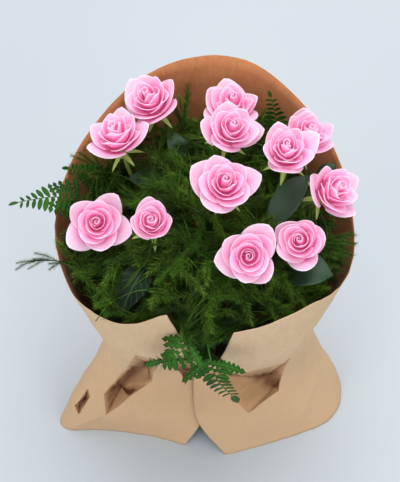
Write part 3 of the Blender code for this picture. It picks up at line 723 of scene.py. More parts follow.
@dataclass
class Bloom:
    """One bloom: a tight scroll in the middle, and cups of petals that open outwards."""

    rose: Rose
    centre_height: float = 26.0
    height: float = 46.0
    petals: int = 15
    scrolls: int = 3
    thickness: float = 0.4
    columns: int = 14
    rows: int = 12
    chance: random.Random = field(default_factory=lambda: random.Random(1))

    def __post_init__(self) -> None:
        """Works out the bloom's own axes."""
        lean_x, lean_y = self.rose.lean
        self.axis = Vector((lean_x, lean_y, math.sqrt(1.0 - lean_x ** 2 - lean_y ** 2)))
        self.base = Vector(self.rose.centre) - self.axis * self.centre_height
        self.across = Vector((0.0, 1.0, 0.0)).cross(self.axis).normalized()
        self.beside = self.axis.cross(self.across)

    def at(self, radius: float, angle: float, height: float) -> Vector:
        """Returns the point at a radius, an angle and a height over the bloom's base."""
        spoke = self.across * math.cos(angle) + self.beside * math.sin(angle)
        return self.base + spoke * radius + self.axis * height

    def cup(self, order: float, opening: float, share: float) -> Vector:
        """Returns the radius and the height on the cup that a petal lies on.

        Args:
            order: The petal's place, from 0 in the middle to 1 outside.
            opening: How far the cup is open, from 0 to 1.
            share: The share of the way from its foot to its lip.

        Returns:
            The radius and the height, as a vector.
        """
        root = Vector((2.4, 17.0 - 15.0 * order))
        belly = Vector((8.0 + 14.0 * order + 3.0 * opening, 29.0 - 13.0 * opening))
        lip = Vector((3.4 + 24.5 * opening, self.height - 12.5 * opening ** 1.3))
        return bezier([root, belly, lip], share)

    def scroll(self, piece: Workpiece, index: int) -> None:
        """Adds one of the tightly rolled petals in the middle.

        Args:
            piece: The mesh that takes it.
            index: Its place, from 0 in the middle.
        """
        inner = 0.2 + 1.4 * index
        heading = math.radians(self.rose.turn) + index * GOLDEN_ANGLE
        reach = math.radians(190.0 - 24.0 * index)
        tall = self.height - 4.2 + 1.0 * index + self.chance.uniform(-0.4, 0.4)
        slant, wave = self.chance.uniform(-0.9, 0.9), self.chance.uniform(0.0, math.tau)

        def place(u: float, v: float) -> Vector:
            """Rolls the petal into a narrow cone, one side under the other."""
            lip = 0.6 * smooth(0.72, 1.0, v)
            radius = inner + 0.65 * (1.0 + u) + 2.6 * (1.0 - v) + lip
            radius += 0.25 * math.sin(u * 5.0 + wave) * v
            if index == 0:
                radius *= smooth(0.0, 0.5, v)
            rise = tall - 17.0 * (1.0 - v) - (1.5 * abs(u) ** 1.6 - slant * u) * v
            return self.at(radius, heading + u * reach, rise)

        piece.blade(place, self.columns + 6, self.rows - 5, 0.0)

    def petal(self, piece: Workpiece, index: int) -> None:
        """Adds one petal, on a cup of its own just outside the petals within it.

        Args:
            piece: The mesh that takes it.
            index: Its place, from 0 in the middle.
        """
        chance = self.chance
        order = (index + 1) / self.petals
        opening = self.rose.openness * order ** 0.92 * (1.0 + chance.uniform(-0.05, 0.05))
        reach = math.radians(95.0 - 35.0 * order + chance.uniform(-6.0, 6.0))
        heading = math.radians(self.rose.turn + chance.uniform(-16.0, 16.0)) + index * GOLDEN_ANGLE
        tuck = 0.14 * (1.0 - order) + 0.05
        roll = (0.6 + 8.4 * order ** 1.2) * chance.uniform(0.75, 1.25)
        point = 0.36 * chance.uniform(0.8, 1.2)
        wave, skew = chance.uniform(0.0, math.tau), chance.uniform(-0.3, 0.3)
        lift = chance.uniform(-1.2, 1.2) * (0.3 + order)
        fold, blunt = 0.70 - 0.10 * order, 1.1 - 0.1 * order
        spread = 1.0 + (self.rose.spread - 1.0) * order

        def place(u: float, v: float) -> Vector:
            """Lays the petal on its cup, tucks in one side and rolls its rim back."""
            width = reach * math.sin(math.radians(44.0 + 56.0 * v))
            side = abs(u + skew * (1.0 - u * u))
            share = v * (1.0 - point * side ** blunt)
            here = self.cup(order, opening, share)
            ahead = self.cup(order, opening, share + 0.02) - here
            ahead.normalize()
            curl = smooth(fold, 1.0, v) ** 1.3
            here += Vector((ahead.y, -ahead.x)) * roll * curl * (1.0 - 0.75 * side ** blunt)
            here -= ahead * roll * curl ** 2 * (0.2 + 0.5 * side)
            here.y += math.sin(u * 4.0 + wave) * smooth(0.55, 1.0, v) * (0.2 + 0.8 * order)
            radius = here.x * (1.0 + tuck * u * smooth(0.1, 0.8, v)) * spread
            return self.at(radius, heading + u * width, here.y + lift * smooth(0.2, 0.9, v))

        piece.blade(place, self.columns, self.rows, order)

    def build(self, name: str, node: str, finish: bpy.types.Material) -> None:
        """Makes the bloom.

        Args:
            name: The piece's name.
            node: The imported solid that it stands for.
            finish: The petals' material.
        """
        piece = Workpiece(name)
        for index in range(self.scrolls):
            self.scroll(piece, index)
        for index in range(self.petals):
            self.petal(piece, index)
        thing = piece.done([finish])
        thicken(thing, self.thickness)
        stand_for(thing, node, "rose_petal")


@dataclass
class RoseStem(Leafy):
    """A rose's stem, with its cut foot, its thorns, its hip and its five sepals.

    The hip is given as heights under the bloom's base, with the radius at each of them.
    """

    slot: ClassVar[str] = "rose_green"
    bloom: Bloom
    radius: float = 2.6
    sides: int = 10
    neck: float = 34.0
    hip_radius: float = 5.4
    hip_length: float = 9.0
    sepal_length: float = 21.0
    sepal_width: float = 5.8
    hip: tuple[tuple[float, float], ...] = (
        (-10.5, 2.3), (-9.6, 2.4), (-8.6, 3.0), (-7.0, 4.4), (-5.0, 5.3), (-3.0, 5.4), (-1.0, 5.0),
        (-0.3, 4.9))
    droops: tuple[float, ...] = (-34.0, -8.0, -22.0, -2.0, -14.0)
    thorns: int = 5

    def way(self, node: str) -> list[Vector]:
        """Finds the stem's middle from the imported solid, and bends it into the bloom's neck."""
        bloom = self.bloom
        bend_start = bloom.base - bloom.axis * self.neck
        line = Solid(node).centre_line(bend_start.z - 14.0)
        hip_foot = bloom.base - bloom.axis * (self.hip_length + 0.3)
        heading = (line[-1] - line[-2]).normalized()
        bend = (hip_foot - bend_start).length * 0.4
        neck = [bend_start, bend_start + heading * bend, hip_foot - bloom.axis * bend, hip_foot]
        return line + [bezier(neck, share) for share in (0.0, 0.35, 0.7, 1.0)]

    def sepal(self, piece: Workpiece, index: int) -> None:
        """Adds one sepal, a pointed blade that stands out from the hip or hangs from it."""
        bloom = self.bloom
        heading = math.radians(bloom.rose.turn) + index * math.tau / 5.0
        droop = math.radians(self.droops[index])
        side = bloom.at(1.0, heading + math.pi / 2.0, 0.0) - bloom.base
        rnd = bloom.chance.uniform(-1.0, 1.0)

        def place(u: float, v: float) -> Vector:
            """Narrows the sepal to its tip, arches it and folds it a little at its midrib."""
            reach = self.sepal_length * v
            out = bloom.at(self.hip_radius - 2.2 + reach * math.cos(droop), heading, -1.9)
            half = self.sepal_width / 2.0 * ((1.0 - v) ** 0.85 * (0.8 + 1.1 * v) + 0.03)
            half *= 1.0 + 0.3 * max(math.sin(v * 21.0), 0.0) * smooth(0.15, 0.4, v) * (1.0 - v)
            lift = math.sin(droop) * reach + 1.2 * math.sin(math.pi * v) + 0.5 * abs(u)
            return out + bloom.axis * lift + side * (half * u + rnd * 2.5 * v * v)

        piece.blade(place, 4, 12, 1.0)

    def shape(self, stem: Workpiece, blades: Workpiece, node: str) -> None:
        """Shapes the stem with its hip and its thorns, and the sepals as its blades."""
        bloom = self.bloom
        points = even_path(self.way(node), 9.0)
        radii = [self.radius * (1.0 - 0.1 * index / len(points)) for index in range(len(points))]
        stem.tube(points, radii, self.sides, flat_foot=True)
        stem.tube([bloom.base + bloom.axis * height for height, _ in self.hip],
                  [radius for _, radius in self.hip], 14, 0.7)
        for index in range(self.thorns):
            self.thorn(stem, points, 0.3 + 0.55 * (index + bloom.chance.random()) / self.thorns)
        for index in range(len(self.droops)):
            self.sepal(blades, index)

    def thorn(self, piece: Workpiece, points: Sequence[Vector], share: float) -> None:
        """Adds a small hooked thorn at a share of the way up the stem."""
        index = int(share * (len(points) - 2))
        start, along = points[index], (points[index + 1] - points[index]).normalized()
        out = along.orthogonal().normalized()
        out.rotate(Matrix.Rotation(self.bloom.chance.uniform(0.0, math.tau), 3, along))
        path = [start + out * self.radius * 0.7, start + out * (self.radius + 1.6) - along * 0.3,
                start + out * (self.radius + 3.6) - along * 1.6]
        piece.tube(path, [1.5, 0.8, 0.08], 6, 0.3)


# The foliage


@dataclass(frozen=True)
class Green:
    """One stem of foliage: where it leaves the bunch, where its tip is, how it arches, and
    whether its plumes may hang over the paper's edge."""

    root: Point
    tip: Point
    rise: float
    overhangs: bool = False


SPRAYS = (
    Green((-12, 62, 225), (-18, 140, 352), 30),
    Green((40, 80, 230), (64, 138, 335), 30),
    Green((-52, 70, 215), (-124, 92, 325), 40),
    Green((-74, 2, 205), (-178, -38, 326), 30, True),
    Green((-48, -8, 200), (-108, -98, 303), 46),
    Green((-26, -30, 195), (-17, -108, 300), 30, True),
    Green((2, -36, 190), (4, -92, 244), 40),
    Green((-12, 8, 235), (-24, 24, 345), 30),
    Green((34, -34, 200), (84, -92, 298), 40),
    Green((66, 4, 210), (152, -6, 318), 30),
    Green((52, 52, 225), (80, 88, 345), 25),
    Green((22, -6, 225), (62, -4, 335), 25),
)


PLUME_LENGTH = 46.0
NEEDLE_REACH = 10.5


@dataclass
class Plume:
    """A feathery twig of an asparagus spray: a thin stalk with needles all round it."""

    length: float = PLUME_LENGTH
    spacing: float = 2.1
    needles: int = 5
    needle_length: float = 10.4
    needle_radius: float = 0.4
    tilt: float = 58.0
    droop: float = 0.22
    freshness: float = 0.6

    def stalk(self, share: float) -> Vector:
        """Returns the stalk's middle, which rises along +Z and droops towards +X."""
        return Vector((self.droop * self.length * share ** 2, 0.0, self.length * share))

    def needle(self, share: float) -> bpy.types.Mesh:
        """Makes a needle of unit length that is fresh green to a share of the plume's own."""
        needle = Workpiece("needle")
        bmesh.ops.create_cone(needle.bm, cap_ends=True, segments=3, radius1=self.needle_radius,
                              radius2=0.0, depth=1.0)
        bmesh.ops.translate(needle.bm, vec=(0.0, 0.0, 0.5), verts=needle.bm.verts)
        for vertex in needle.bm.verts:
            vertex[needle.order] = self.freshness * share * (0.45 + 0.55 * vertex.co.z)
        return needle.mesh()

    def pattern(self, finish: bpy.types.Material, chance: random.Random) -> bpy.types.Mesh:
        """Makes one plume, standing on its stalk's foot.

        Args:
            finish: The green of its needles.
            chance: The source of its small differences.

        Returns:
            The mesh, which sprays are stamped from.
        """
        singles = [self.needle(share) for share in (0.2, 0.6, 1.0)]
        piece = Workpiece("plume")
        steps = 6
        piece.tube([self.stalk(index / steps) for index in range(steps + 1)],
                   [0.45 - 0.3 * index / steps for index in range(steps + 1)], 3, 0.2)
        count = int(self.length / self.spacing)
        for index in range(count):
            share = (index + 0.5) / count
            foot = self.stalk(share)
            along = (self.stalk(share + 0.02) - foot).normalized()
            turned = along.to_track_quat("Z", "X").to_matrix()
            size = self.needle_length * (0.45 + 0.85 * math.sin(math.pi * (0.1 + 0.75 * share)))
            for number in range(self.needles):
                angle = index * GOLDEN_ANGLE + number * math.tau / self.needles
                angle += chance.uniform(-0.35, 0.35)
                tilt = math.radians(self.tilt * (1.0 - 0.4 * share) + chance.uniform(-20.0, 20.0))
                spin = Matrix.Rotation(angle, 3, "Z") @ Matrix.Rotation(tilt, 3, "X")
                long = size * chance.uniform(0.7, 1.1)
                place = (turned @ spin).to_4x4()
                place.translation = foot
                single = singles[(index * 3 + number * 2) % 5 // 2]
                piece.stamp(single, place @ Matrix.Diagonal((1.0, 1.0, long, 1.0)))
        pattern = piece.mesh()
        pattern.materials.append(finish)
        for single in singles:
            bpy.data.meshes.remove(single)
        return pattern


class Room:
    """Knows where the blooms and the paper are, and which places are free for foliage."""

    BLOOM_SPAN = (-20.0, 60.0)
    BLOOM_REACH = 36.0
    FACE_REACH = 31.0
    COVER_DEPTH = -4.0
    BOX_MARGIN = 2.0
    TWIG_MARGIN = 2.5
    WALL_MARGIN = 4.0

    def __init__(self, blooms: Sequence[Bloom], paper: BVHTree, eye: Vector,
                 shown: Sequence[tuple[Vector, float]]) -> None:
        """Takes note of what foliage has to keep clear of."""
        self.blooms = blooms
        self.shown = shown
        self.paper = paper
        self.eye = eye
        self.low = CAD_BOX[0] / MM
        self.high = CAD_BOX[1] / MM

    @staticmethod
    def over_rim(point: Vector) -> bool:
        """Says whether a point lies outside the paper's mouth, seen from above."""
        wrap = PaperWrap
        depth = wrap.front if point.y < wrap.centre[1] else wrap.back
        return (((point.x - wrap.centre[0]) / wrap.half_width) ** 2
                + ((point.y - wrap.centre[1]) / depth) ** 2) > 1.0

    def covers(self, point: Vector, thing: Vector, reach: float) -> bool:
        """Says whether a point hides the surroundings of some place from the viewer."""
        near = (self.eye - thing).normalized()
        depth = (point - thing).dot(near)
        aside = (point - thing - near * depth).length
        return depth > self.COVER_DEPTH and aside < reach

    def in_bloom(self, point: Vector) -> bool:
        """Says whether a point is inside a bloom, or covers its face or a leaf."""
        if any(self.covers(point, place, reach) for place, reach in self.shown):
            return True
        low, high = self.BLOOM_SPAN
        for bloom in self.blooms:
            centre = Vector(bloom.rose.centre)
            way = point - centre
            rise = way.dot(bloom.axis)
            if low < rise < high and (way - bloom.axis * rise).length < self.BLOOM_REACH:
                return True
            if self.covers(point, centre, self.FACE_REACH):
                return True
        return False

    def joined(self, curve: Sequence[Vector]) -> bool:
        """Says whether a curve stays clear of the paper and inside its mouth."""
        if any(self.over_rim(point) for point in curve):
            return False
        return all(self.paper.find_nearest(point, self.TWIG_MARGIN)[0] is None
                   and self.paper.ray_cast(point, after - point, (after - point).length)[0] is None
                   for point, after in zip(curve, curve[1:]))

    def free(self, start: Vector, end: Vector, margin: float) -> bool:
        """Says whether a straight twig is clear of all that matters.

        Args:
            start: Its foot.
            end: Its tip.
            margin: The room that it needs to the paper.

        Returns:
            Whether it is clear.
        """
        if any(not low + self.BOX_MARGIN < part < high - self.BOX_MARGIN
               for part, low, high in zip(end, self.low, self.high)):
            return False
        if any(self.in_bloom(start.lerp(end, share)) for share in (0.0, 0.35, 0.7, 1.0)):
            return False
        way = end - start
        ahead = self.paper.ray_cast(start, way.normalized(), way.length + self.WALL_MARGIN)
        if ahead[0] is not None:
            return False
        return all(self.paper.find_nearest(start.lerp(end, share), margin)[0] is None
                   for share in (0.5, 1.0))


@dataclass(frozen=True)
class Twig:
    """A twig of a spray: where it leaves the rib, and where its plume starts and points."""

    foot: Vector
    along: Vector
    joint: Vector
    heading: Vector
    size: float
    deep: bool = False

    def curve(self) -> list[Vector]:
        """Returns the points of the stalk from the rib to the plume's foot."""
        gap = (self.joint - self.foot).length
        ends = [self.foot, self.foot + self.along * gap * 0.4,
                self.joint - self.heading * gap * 0.35, self.joint]
        return [bezier(ends, step / 4.0) for step in range(5)]


@dataclass
class Spray:
    """One spray of asparagus fern: a thin stem, and twigs of needles on its upper part."""

    green: Green
    node: str
    stem_radius: float = 1.3
    side_plumes: int = 9
    most_twigs: int = 72
    feet: int = 12

    def __post_init__(self) -> None:
        """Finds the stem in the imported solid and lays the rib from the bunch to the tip."""
        self.line = Solid(self.node).centre_line(self.green.root[2] - 12.0)
        root, tip = Vector(self.green.root), Vector(self.green.tip)
        heading = (root - self.line[-1]).normalized()
        knee = root + heading * (tip - root).length * 0.35
        crown = root.lerp(tip, 0.7) + Vector((0.0, 0.0, self.green.rise))
        self.rib = [bezier([root, knee, crown, tip], index / self.feet)
                    for index in range(self.feet + 1)]
        self.twigs: list[Twig] = []

    def offer(self, joint: Vector) -> tuple[float, int]:
        """Returns how long a twig to some place would be, and the foot it would grow from."""
        return min(((self.rib[index] - joint).length, index) for index in range(2, self.feet))

    def twig(self, number: int, joint: Vector, heading: Vector, size: float, deep: bool) -> Twig:
        """Returns a twig from one place on the rib."""
        along = (self.rib[number + 1] - self.rib[number - 1]).normalized()
        return Twig(self.rib[number], along, joint, heading, size, deep)

    def take_side_plumes(self, room: Room, chance: random.Random) -> None:
        """Takes on plumes that grow straight from the rib's outer part, where there is room."""
        for index in range(self.side_plumes):
            share = 0.58 + 0.41 * index / (self.side_plumes - 1)
            place = int(share * self.feet)
            start = self.rib[place].lerp(self.rib[place + 1], share * self.feet - place)
            along = (self.rib[place + 1] - self.rib[place]).normalized()
            for attempt in range(6):
                side = along.orthogonal().normalized()
                turn = index * GOLDEN_ANGLE + attempt * 0.9 + chance.uniform(-0.4, 0.4)
                side.rotate(Matrix.Rotation(turn, 3, along))
                heading = along + side * chance.uniform(0.15, 0.7) * (1.1 - 0.08 * index)
                heading.normalize()
                size = chance.uniform(0.55, 0.85) * (1.0 - 0.06 * attempt)
                if room.over_rim(start + heading * PLUME_LENGTH * size):
                    if not self.green.overhangs:
                        continue
                    size *= 0.6
                if room.free(start, start + heading * PLUME_LENGTH * size, NEEDLE_REACH * size):
                    self.twigs.append(Twig(start, along, start, heading, size))
                    break

    def build(self, name: str, patterns: Sequence[bpy.types.Mesh], deep: bpy.types.Mesh,
              finish: bpy.types.Material) -> None:
        """Makes the spray.

        Args:
            name: The piece's name.
            patterns: The plumes that it is planted with.
            deep: The fuller plume for the shade below them, whose darker, least fresh green is
                painted shade.
            finish: The green of its needles.
        """
        piece = Workpiece(name)
        way = even_path(self.line + self.rib[::3], 10.0)
        piece.tube(way, taper(self.stem_radius, 0.6, len(way)), 6, flat_foot=True)
        for twig in self.twigs:
            if (twig.joint - twig.foot).length > 3.0:
                piece.tube(twig.curve(), [0.6, 0.56, 0.52, 0.48, 0.44], 3, 0.2)
        thing = piece.done([finish])
        plant(thing, [(deep if twig.deep else patterns[index % len(patterns)],
                       self.plume_place(twig)) for index, twig in enumerate(self.twigs)])
        stand_for(thing, self.node, "fern_green")

    @staticmethod
    def plume_place(twig: Twig) -> Matrix:
        """Returns the placing of a plume that stands on its twig and droops downwards."""
        down = Vector((0.0, 0.0, -1.0))
        sag = (down - twig.heading * down.dot(twig.heading)).normalized()
        turned = Matrix((sag, twig.heading.cross(sag), twig.heading)).transposed()
        place = (turned * twig.size).to_4x4()
        place.translation = twig.joint
        return place


def plant(trunk: bpy.types.Object, copies: Sequence[tuple[bpy.types.Mesh, Matrix]]) -> None:
    """Adds placed copies of small meshes, made in millimetres, to a trunk's mesh."""
    things = []
    for pattern, place in copies:
        thing = bpy.data.objects.new("plume", pattern)
        bpy.context.scene.collection.objects.link(thing)
        thing.matrix_world = Matrix.Scale(MM, 4) @ place
        things.append(thing)
    with bpy.context.temp_override(active_object=trunk, object=trunk,
                                   selected_objects=[trunk, *things],
                                   selected_editable_objects=[trunk, *things]):
        bpy.ops.object.join()
    trunk.data.shade_smooth()


@dataclass
class Dome:
    """The crown of foliage: a low dome over the paper's mouth, covered with lying plumes.

    Its top runs along y = ridge, and it falls away from there by a rate for each side.
    """

    sprays: Sequence[Spray]
    room: Room
    centre: tuple[float, float] = (4.0, 16.0)
    half_width: float = 158.0
    front: float = 138.0
    back: float = 146.0
    top: float = 352.0
    ridge: float = 20.0
    fall_aside: float = 0.0029
    fall_front: float = 0.0027
    fall_back: float = 0.0004
    plumes: int = 690
    deep_depths: tuple[float, float] = (18.0, 42.0)
    top_depths: tuple[float, float] = (-8.0, 12.0)
    attempts: int = 14

    def height(self, x: float, y: float) -> float:
        """Returns the dome's height over a place in the mouth."""
        away = y - self.ridge
        slope = self.fall_front if away < 0.0 else self.fall_back
        return self.top - self.fall_aside * (x - self.centre[0]) ** 2 - slope * away ** 2

    def share_out(self, chance: random.Random) -> None:
        """Spreads plumes evenly over the dome and gives each to a spray nearby."""
        for index in range(self.plumes):
            reach = math.sqrt((index + 0.5) / self.plumes)
            angle = index * GOLDEN_ANGLE
            half = self.front if math.cos(angle) > 0.0 else self.back
            x = self.centre[0] + self.half_width * reach * math.sin(angle)
            y = self.centre[1] - half * reach * math.cos(angle)
            deep = index % 5 in (1, 3)
            depth = chance.uniform(*(self.deep_depths if deep else self.top_depths))
            self.settle(Vector((x, y, self.height(x, y) - depth)), angle, deep, chance)

    def settle(self, middle: Vector, angle: float, deep: bool, chance: random.Random) -> None:
        """Finds room for a plume, trying other directions and lower places, and a spray for it.

        Args:
            middle: Where the plume's middle should be.
            angle: The direction from the dome's middle to the plume.
            deep: Whether it lies in the shade below the others.
            chance: The source of its small differences.
        """
        for attempt in range(self.attempts):
            size = chance.uniform(0.7, 1.05)
            turn = angle + chance.gauss(0.0, 1.0)
            pitch = chance.uniform(-0.15, 0.55)
            heading = Vector((math.sin(turn), -math.cos(turn), pitch)).normalized()
            half = heading * PLUME_LENGTH * size / 2.0
            outside = self.room.over_rim(middle + half * 1.25)
            if not outside and self.room.free(middle - half, middle + half, NEEDLE_REACH * size):
                offers = [(*spray.offer(middle - half), number)
                          for number, spray in enumerate(self.sprays)
                          if len(spray.twigs) < spray.most_twigs]
                _, foot, number = min(offers)
                twig = self.sprays[number].twig(foot, middle - half, heading, size, deep)
                if self.room.joined(twig.curve()):
                    self.sprays[number].twigs.append(twig)
                    return
            if attempt % 2:
                middle = middle - Vector((middle.x * 0.025, middle.y * 0.025, 7.0))


@dataclass(frozen=True)
class FrondRule:
    """One frond: the points its rib passes, its longest and its small pinnae, the bare share of
    the rib, how fast the pinnae shorten, how many pairs there are, how wide a small pinna is to
    its length, and how long the leaflet at the tip is."""

    places: tuple[Point, ...]
    pinna: float
    small: float
    bare: float
    taper: float
    pairs: int
    breadth: float
    tip: float


FRONDS = (
    FrondRule(((9, -52, 205), (7, -108, 284), (17, -134, 250), (39, -108, 160)),
              34, 14, 0.52, 4.0, 8, 0.6, 26),
    FrondRule(((-4, -50, 205), (-6, -104, 290), (-24, -126, 280), (-44, -122, 262)),
              27, 14, 0.45, 1.3, 6, 0.6, 22),
    FrondRule(((-64, 45, 215), (-112, 56, 300), (-152, 40, 335), (-199, 26, 342)),
              24, 12, 0.5, 0.7, 10, 0.4, 10),
    FrondRule(((-60, 72, 225), (-92, 82, 290), (-120, 80, 325), (-144, 68, 350)),
              23, 11, 0.35, 0.8, 11, 0.42, 10),
    FrondRule(((48, 92, 230), (80, 116, 300), (84, 134, 345), (76, 142, 386)),
              23, 11, 0.4, 0.8, 11, 0.42, 10),
)


@dataclass
class Frond(Leafy):
    """One leatherleaf frond: a wiry rib, and on both sides its lobed pinnae."""

    slot: ClassVar[str] = "frond_green"
    blade_thickness: ClassVar[float] = 0.4
    rule: FrondRule
    stem_radius: float = 1.3

    def at(self, share: float) -> Vector:
        """Returns the point at a share of the way along the rib."""
        places = [Vector(place) for place in self.rule.places]
        return spline(places, share * (len(places) - 1))

    def pinna(self, piece: Workpiece, share: float, size: float, hand: float) -> None:
        """Adds one pinna, with lobed edges where it is long.

        Args:
            piece: The mesh that takes it.
            share: Where it leaves the rib.
            size: How far it reaches from the rib.
            hand: 1 for the right side, -1 for the left and 0 for the rib's own tip.
        """
        point = self.at(share)
        along = (point - self.at(share - 0.03)).normalized()
        face = Vector((0.0, -abs(along.z), math.sqrt(max(1.0 - along.z ** 2, 0.0))))
        side = along.cross(face).normalized()
        out = (side * hand + along * (0.45 if hand else 1.0)).normalized()
        reach = size * 1.09
        across = (along - out * along.dot(out)).normalized() if hand else side
        over = out.cross(across).normalized()
        half = size * (self.rule.breadth / 2.0 if size < 15.0 else 0.2)
        lobes = round(size / 5.0) if size > 15.0 else 1
        cut = 0.6 if lobes > 1 else 0.0

        def place(u: float, v: float) -> Vector:
            """Cuts the lobes, and bends the pinna down towards its tip."""
            tooth = (v * lobes + 0.25) % 1.0
            notch = 1.0 - cut * (1.0 - math.sin(math.pi * tooth) ** 0.6) * smooth(0.0, 0.12, v)
            width = half * (math.sin(math.pi * min(0.10 + 0.9 * v, 1.0)) ** 0.6) * notch
            slip = abs(u) * 0.24 * reach / max(lobes, 3) * (1.0 - v)
            fold = over * (abs(u) * 0.18 * half - 0.6 * math.sin(math.pi * v))
            fall = Vector((0.0, 0.0, -size * 0.18 * v * v))
            return point + out * (reach * v + slip) + across * width * u + fold * (hand or 1.0) + fall

        piece.blade(place, 4, max(4 * lobes, 10), 0.5)

    def shape(self, stem: Workpiece, blades: Workpiece, node: str) -> None:
        """Shapes the stalk and the rib in one, and the pinnae as its blades."""
        rule = self.rule
        line = Solid(node).centre_line(rule.places[0][2] - 12.0)
        for index in range(rule.pairs):
            step = index / rule.pairs
            size = max(rule.pinna * (1.0 - step) ** rule.taper, rule.small * (1.15 - 0.6 * step))
            for hand, late in ((1.0, 0.0), (-1.0, 0.35)):
                share = rule.bare + (1.0 - rule.bare) * (index + late) / (rule.pairs + 0.8)
                self.pinna(blades, share, size, hand)
        self.pinna(blades, 0.96, rule.tip, 0.0)
        way = even_path(line + [self.at(index / 8.0) for index in range(9)], 8.0)
        stem.tube(way, taper(self.stem_radius, 0.7, len(way)), 6, flat_foot=True)


@dataclass(frozen=True)
class Leaf:
    """One broad leaf: the base and tip of its blade, its half width and how far it arches."""

    base: Point
    tip: Point
    half_width: float
    arch: float


@dataclass(frozen=True)
class BranchRule:
    """One woody stem with broad leaves."""

    root: Point
    leaves: tuple[Leaf, ...]


BRANCHES = (
    BranchRule((-38, -22, 215), (Leaf((-55, -34, 312), (-84, -80, 284), 17, 10),
                                 Leaf((-128, -2, 282), (-149, 12, 304), 9, 5))),
    BranchRule((62, -8, 236), (Leaf((72, 4, 322), (116, 58, 350), 16, 8),
                               Leaf((128, 66, 316), (148, 84, 336), 11, 5))),
    BranchRule((44, -24, 215), (Leaf((90, -34, 290), (141, -40, 302), 22, 10),
                                Leaf((36, -56, 262), (28, -84, 236), 9, 5))),
    BranchRule((-16, 52, 225), (Leaf((-14, 88, 318), (-34, 122, 346), 12, 6),
                                Leaf((-38, 72, 308), (-78, 78, 318), 14, 7))),
)


@dataclass
class Branch(Leafy):
    """A woody stem whose broad, glossy leaves each stand on a stalk."""

    slot: ClassVar[str] = "leaf_green"
    rule: BranchRule
    stem_radius: float = 1.7

    @staticmethod
    def midrib(leaf: Leaf) -> list[Vector]:
        """Returns the control points of a leaf's midrib."""
        base, tip = Vector(leaf.base), Vector(leaf.tip)
        return [base, base.lerp(tip, 0.5) + Vector((0.0, 0.0, leaf.arch * 2.0)), tip]

    def blade(self, piece: Workpiece, leaf: Leaf) -> None:
        """Adds one leaf, pointed at both ends, arched, and folded a little at its midrib."""
        curve = self.midrib(leaf)
        along = (curve[2] - curve[0]).normalized()
        side = along.cross(Vector((0.0, 0.0, 1.0))).normalized()

        def place(u: float, v: float) -> Vector:
            """Shapes the leaf's outline and gives its edge a slow wave."""
            half = leaf.half_width * max(math.sin(math.pi * v ** 0.85), 0.015) ** 0.85
            wave = 0.05 * leaf.half_width * abs(u) * math.sin(v * 13.0 + u * 2.0)
            lift = 0.22 * half * abs(u) ** 1.3 + wave
            return bezier(curve, v) + side * half * u + Vector((0.0, 0.0, lift))

        piece.blade(place, 12, 26, 0.5)

    def shape(self, stem: Workpiece, blades: Workpiece, node: str) -> None:
        """Shapes the stem with the leaves' stalks, and the leaves as its blades."""
        rule = self.rule
        line = Solid(node).centre_line(rule.root[2] - 12.0)
        root = Vector(rule.root)
        heading = (root - line[-1]).normalized()
        way = even_path(line + [root], 9.0)
        stem.tube(way, [self.stem_radius] * len(way), 8, flat_foot=True)
        for leaf in rule.leaves:
            base = Vector(leaf.base)
            start = root - heading * 3.0
            into = bezier(self.midrib(leaf), 0.12)
            curve = [start, start + heading * (base - start).length * 0.45, base, into]
            stalk = [bezier(curve, step / 9.0) for step in range(10)]
            stem.tube(stalk, [1.5 - 0.08 * step for step in range(10)], 7)
            self.blade(blades, leaf)


# The paper


class PaperFace(Enum):
    """The sheet's two faces, and the walls of its pockets in a painted-shade copy of the outside, by
    their material slot.
    """

    OUTSIDE = 0
    INSIDE = 1
    # the pockets' walls, in the outside's colours painted darker as shade
    SHADED_FOLD = 2


@dataclass(frozen=True)
class Pocket:
    """A hollow pushed into the front of the paper: its outline seen from the front as x and z, the
    two ends of its deepest crease, and the direction faced by the walls that take the most painted
    shade."""

    outline: tuple[tuple[float, float], ...]
    crease: tuple[Point, Point]
    # the direction of the walls with the most painted shade
    shade: Point = (0.0, 0.0, -1.0)

    def holds(self, x: float, z: float) -> bool:
        """Says whether a point seen from the front lies within the outline."""
        inside = False
        for (one_x, one_z), (two_x, two_z) in zip(self.outline, self.outline[1:] + self.outline[:1]):
            if (one_z > z) != (two_z > z):
                inside ^= x < one_x + (two_x - one_x) * (z - one_z) / (two_z - one_z)
        return inside


@dataclass(frozen=True)
class Crease:
    """A handling crease at the front of the paper: its two ends seen from the front as x and z,
    and how far it stands out."""

    start: tuple[float, float]
    end: tuple[float, float]
    height: float
    width: float = 10.0

    def share(self, place: Vector) -> float:
        """Returns how much of the crease's height a point of the sheet takes."""
        start, end = Vector(self.start), Vector(self.end)
        way, point = end - start, Vector((place.x, place.z))
        along = min(max((point - start).dot(way) / way.length_squared, 0.0), 1.0)
        aside = (point - start - way * along).length
        return max(1.0 - aside / self.width, 0.0) * min(4.0 * along + 0.2, 4.2 - 4.0 * along, 1.0)

    def press(self, bm: bmesh.types.BMesh) -> None:
        """Gives the sheet an edge along the crease, and lifts it there."""
        faces = [face for face in bm.faces if face.normal.y * face.normal.y > 0.02
                 and face.calc_center_median().y < 0.0
                 and self.share(face.calc_center_median()) > 0.0]
        parts = {part for face in faces for part in (*face.edges, *face.verts)}
        across = Vector((self.end[1] - self.start[1], 0.0, self.start[0] - self.end[0]))
        bmesh.ops.bisect_plane(bm, geom=faces + list(parts), dist=0.3,
                               plane_co=(self.start[0], 0.0, self.start[1]),
                               plane_no=across.normalized())
        for vertex in bm.verts:
            if vertex.co.y < 0.0:
                vertex.co.y -= self.height * self.share(vertex.co)


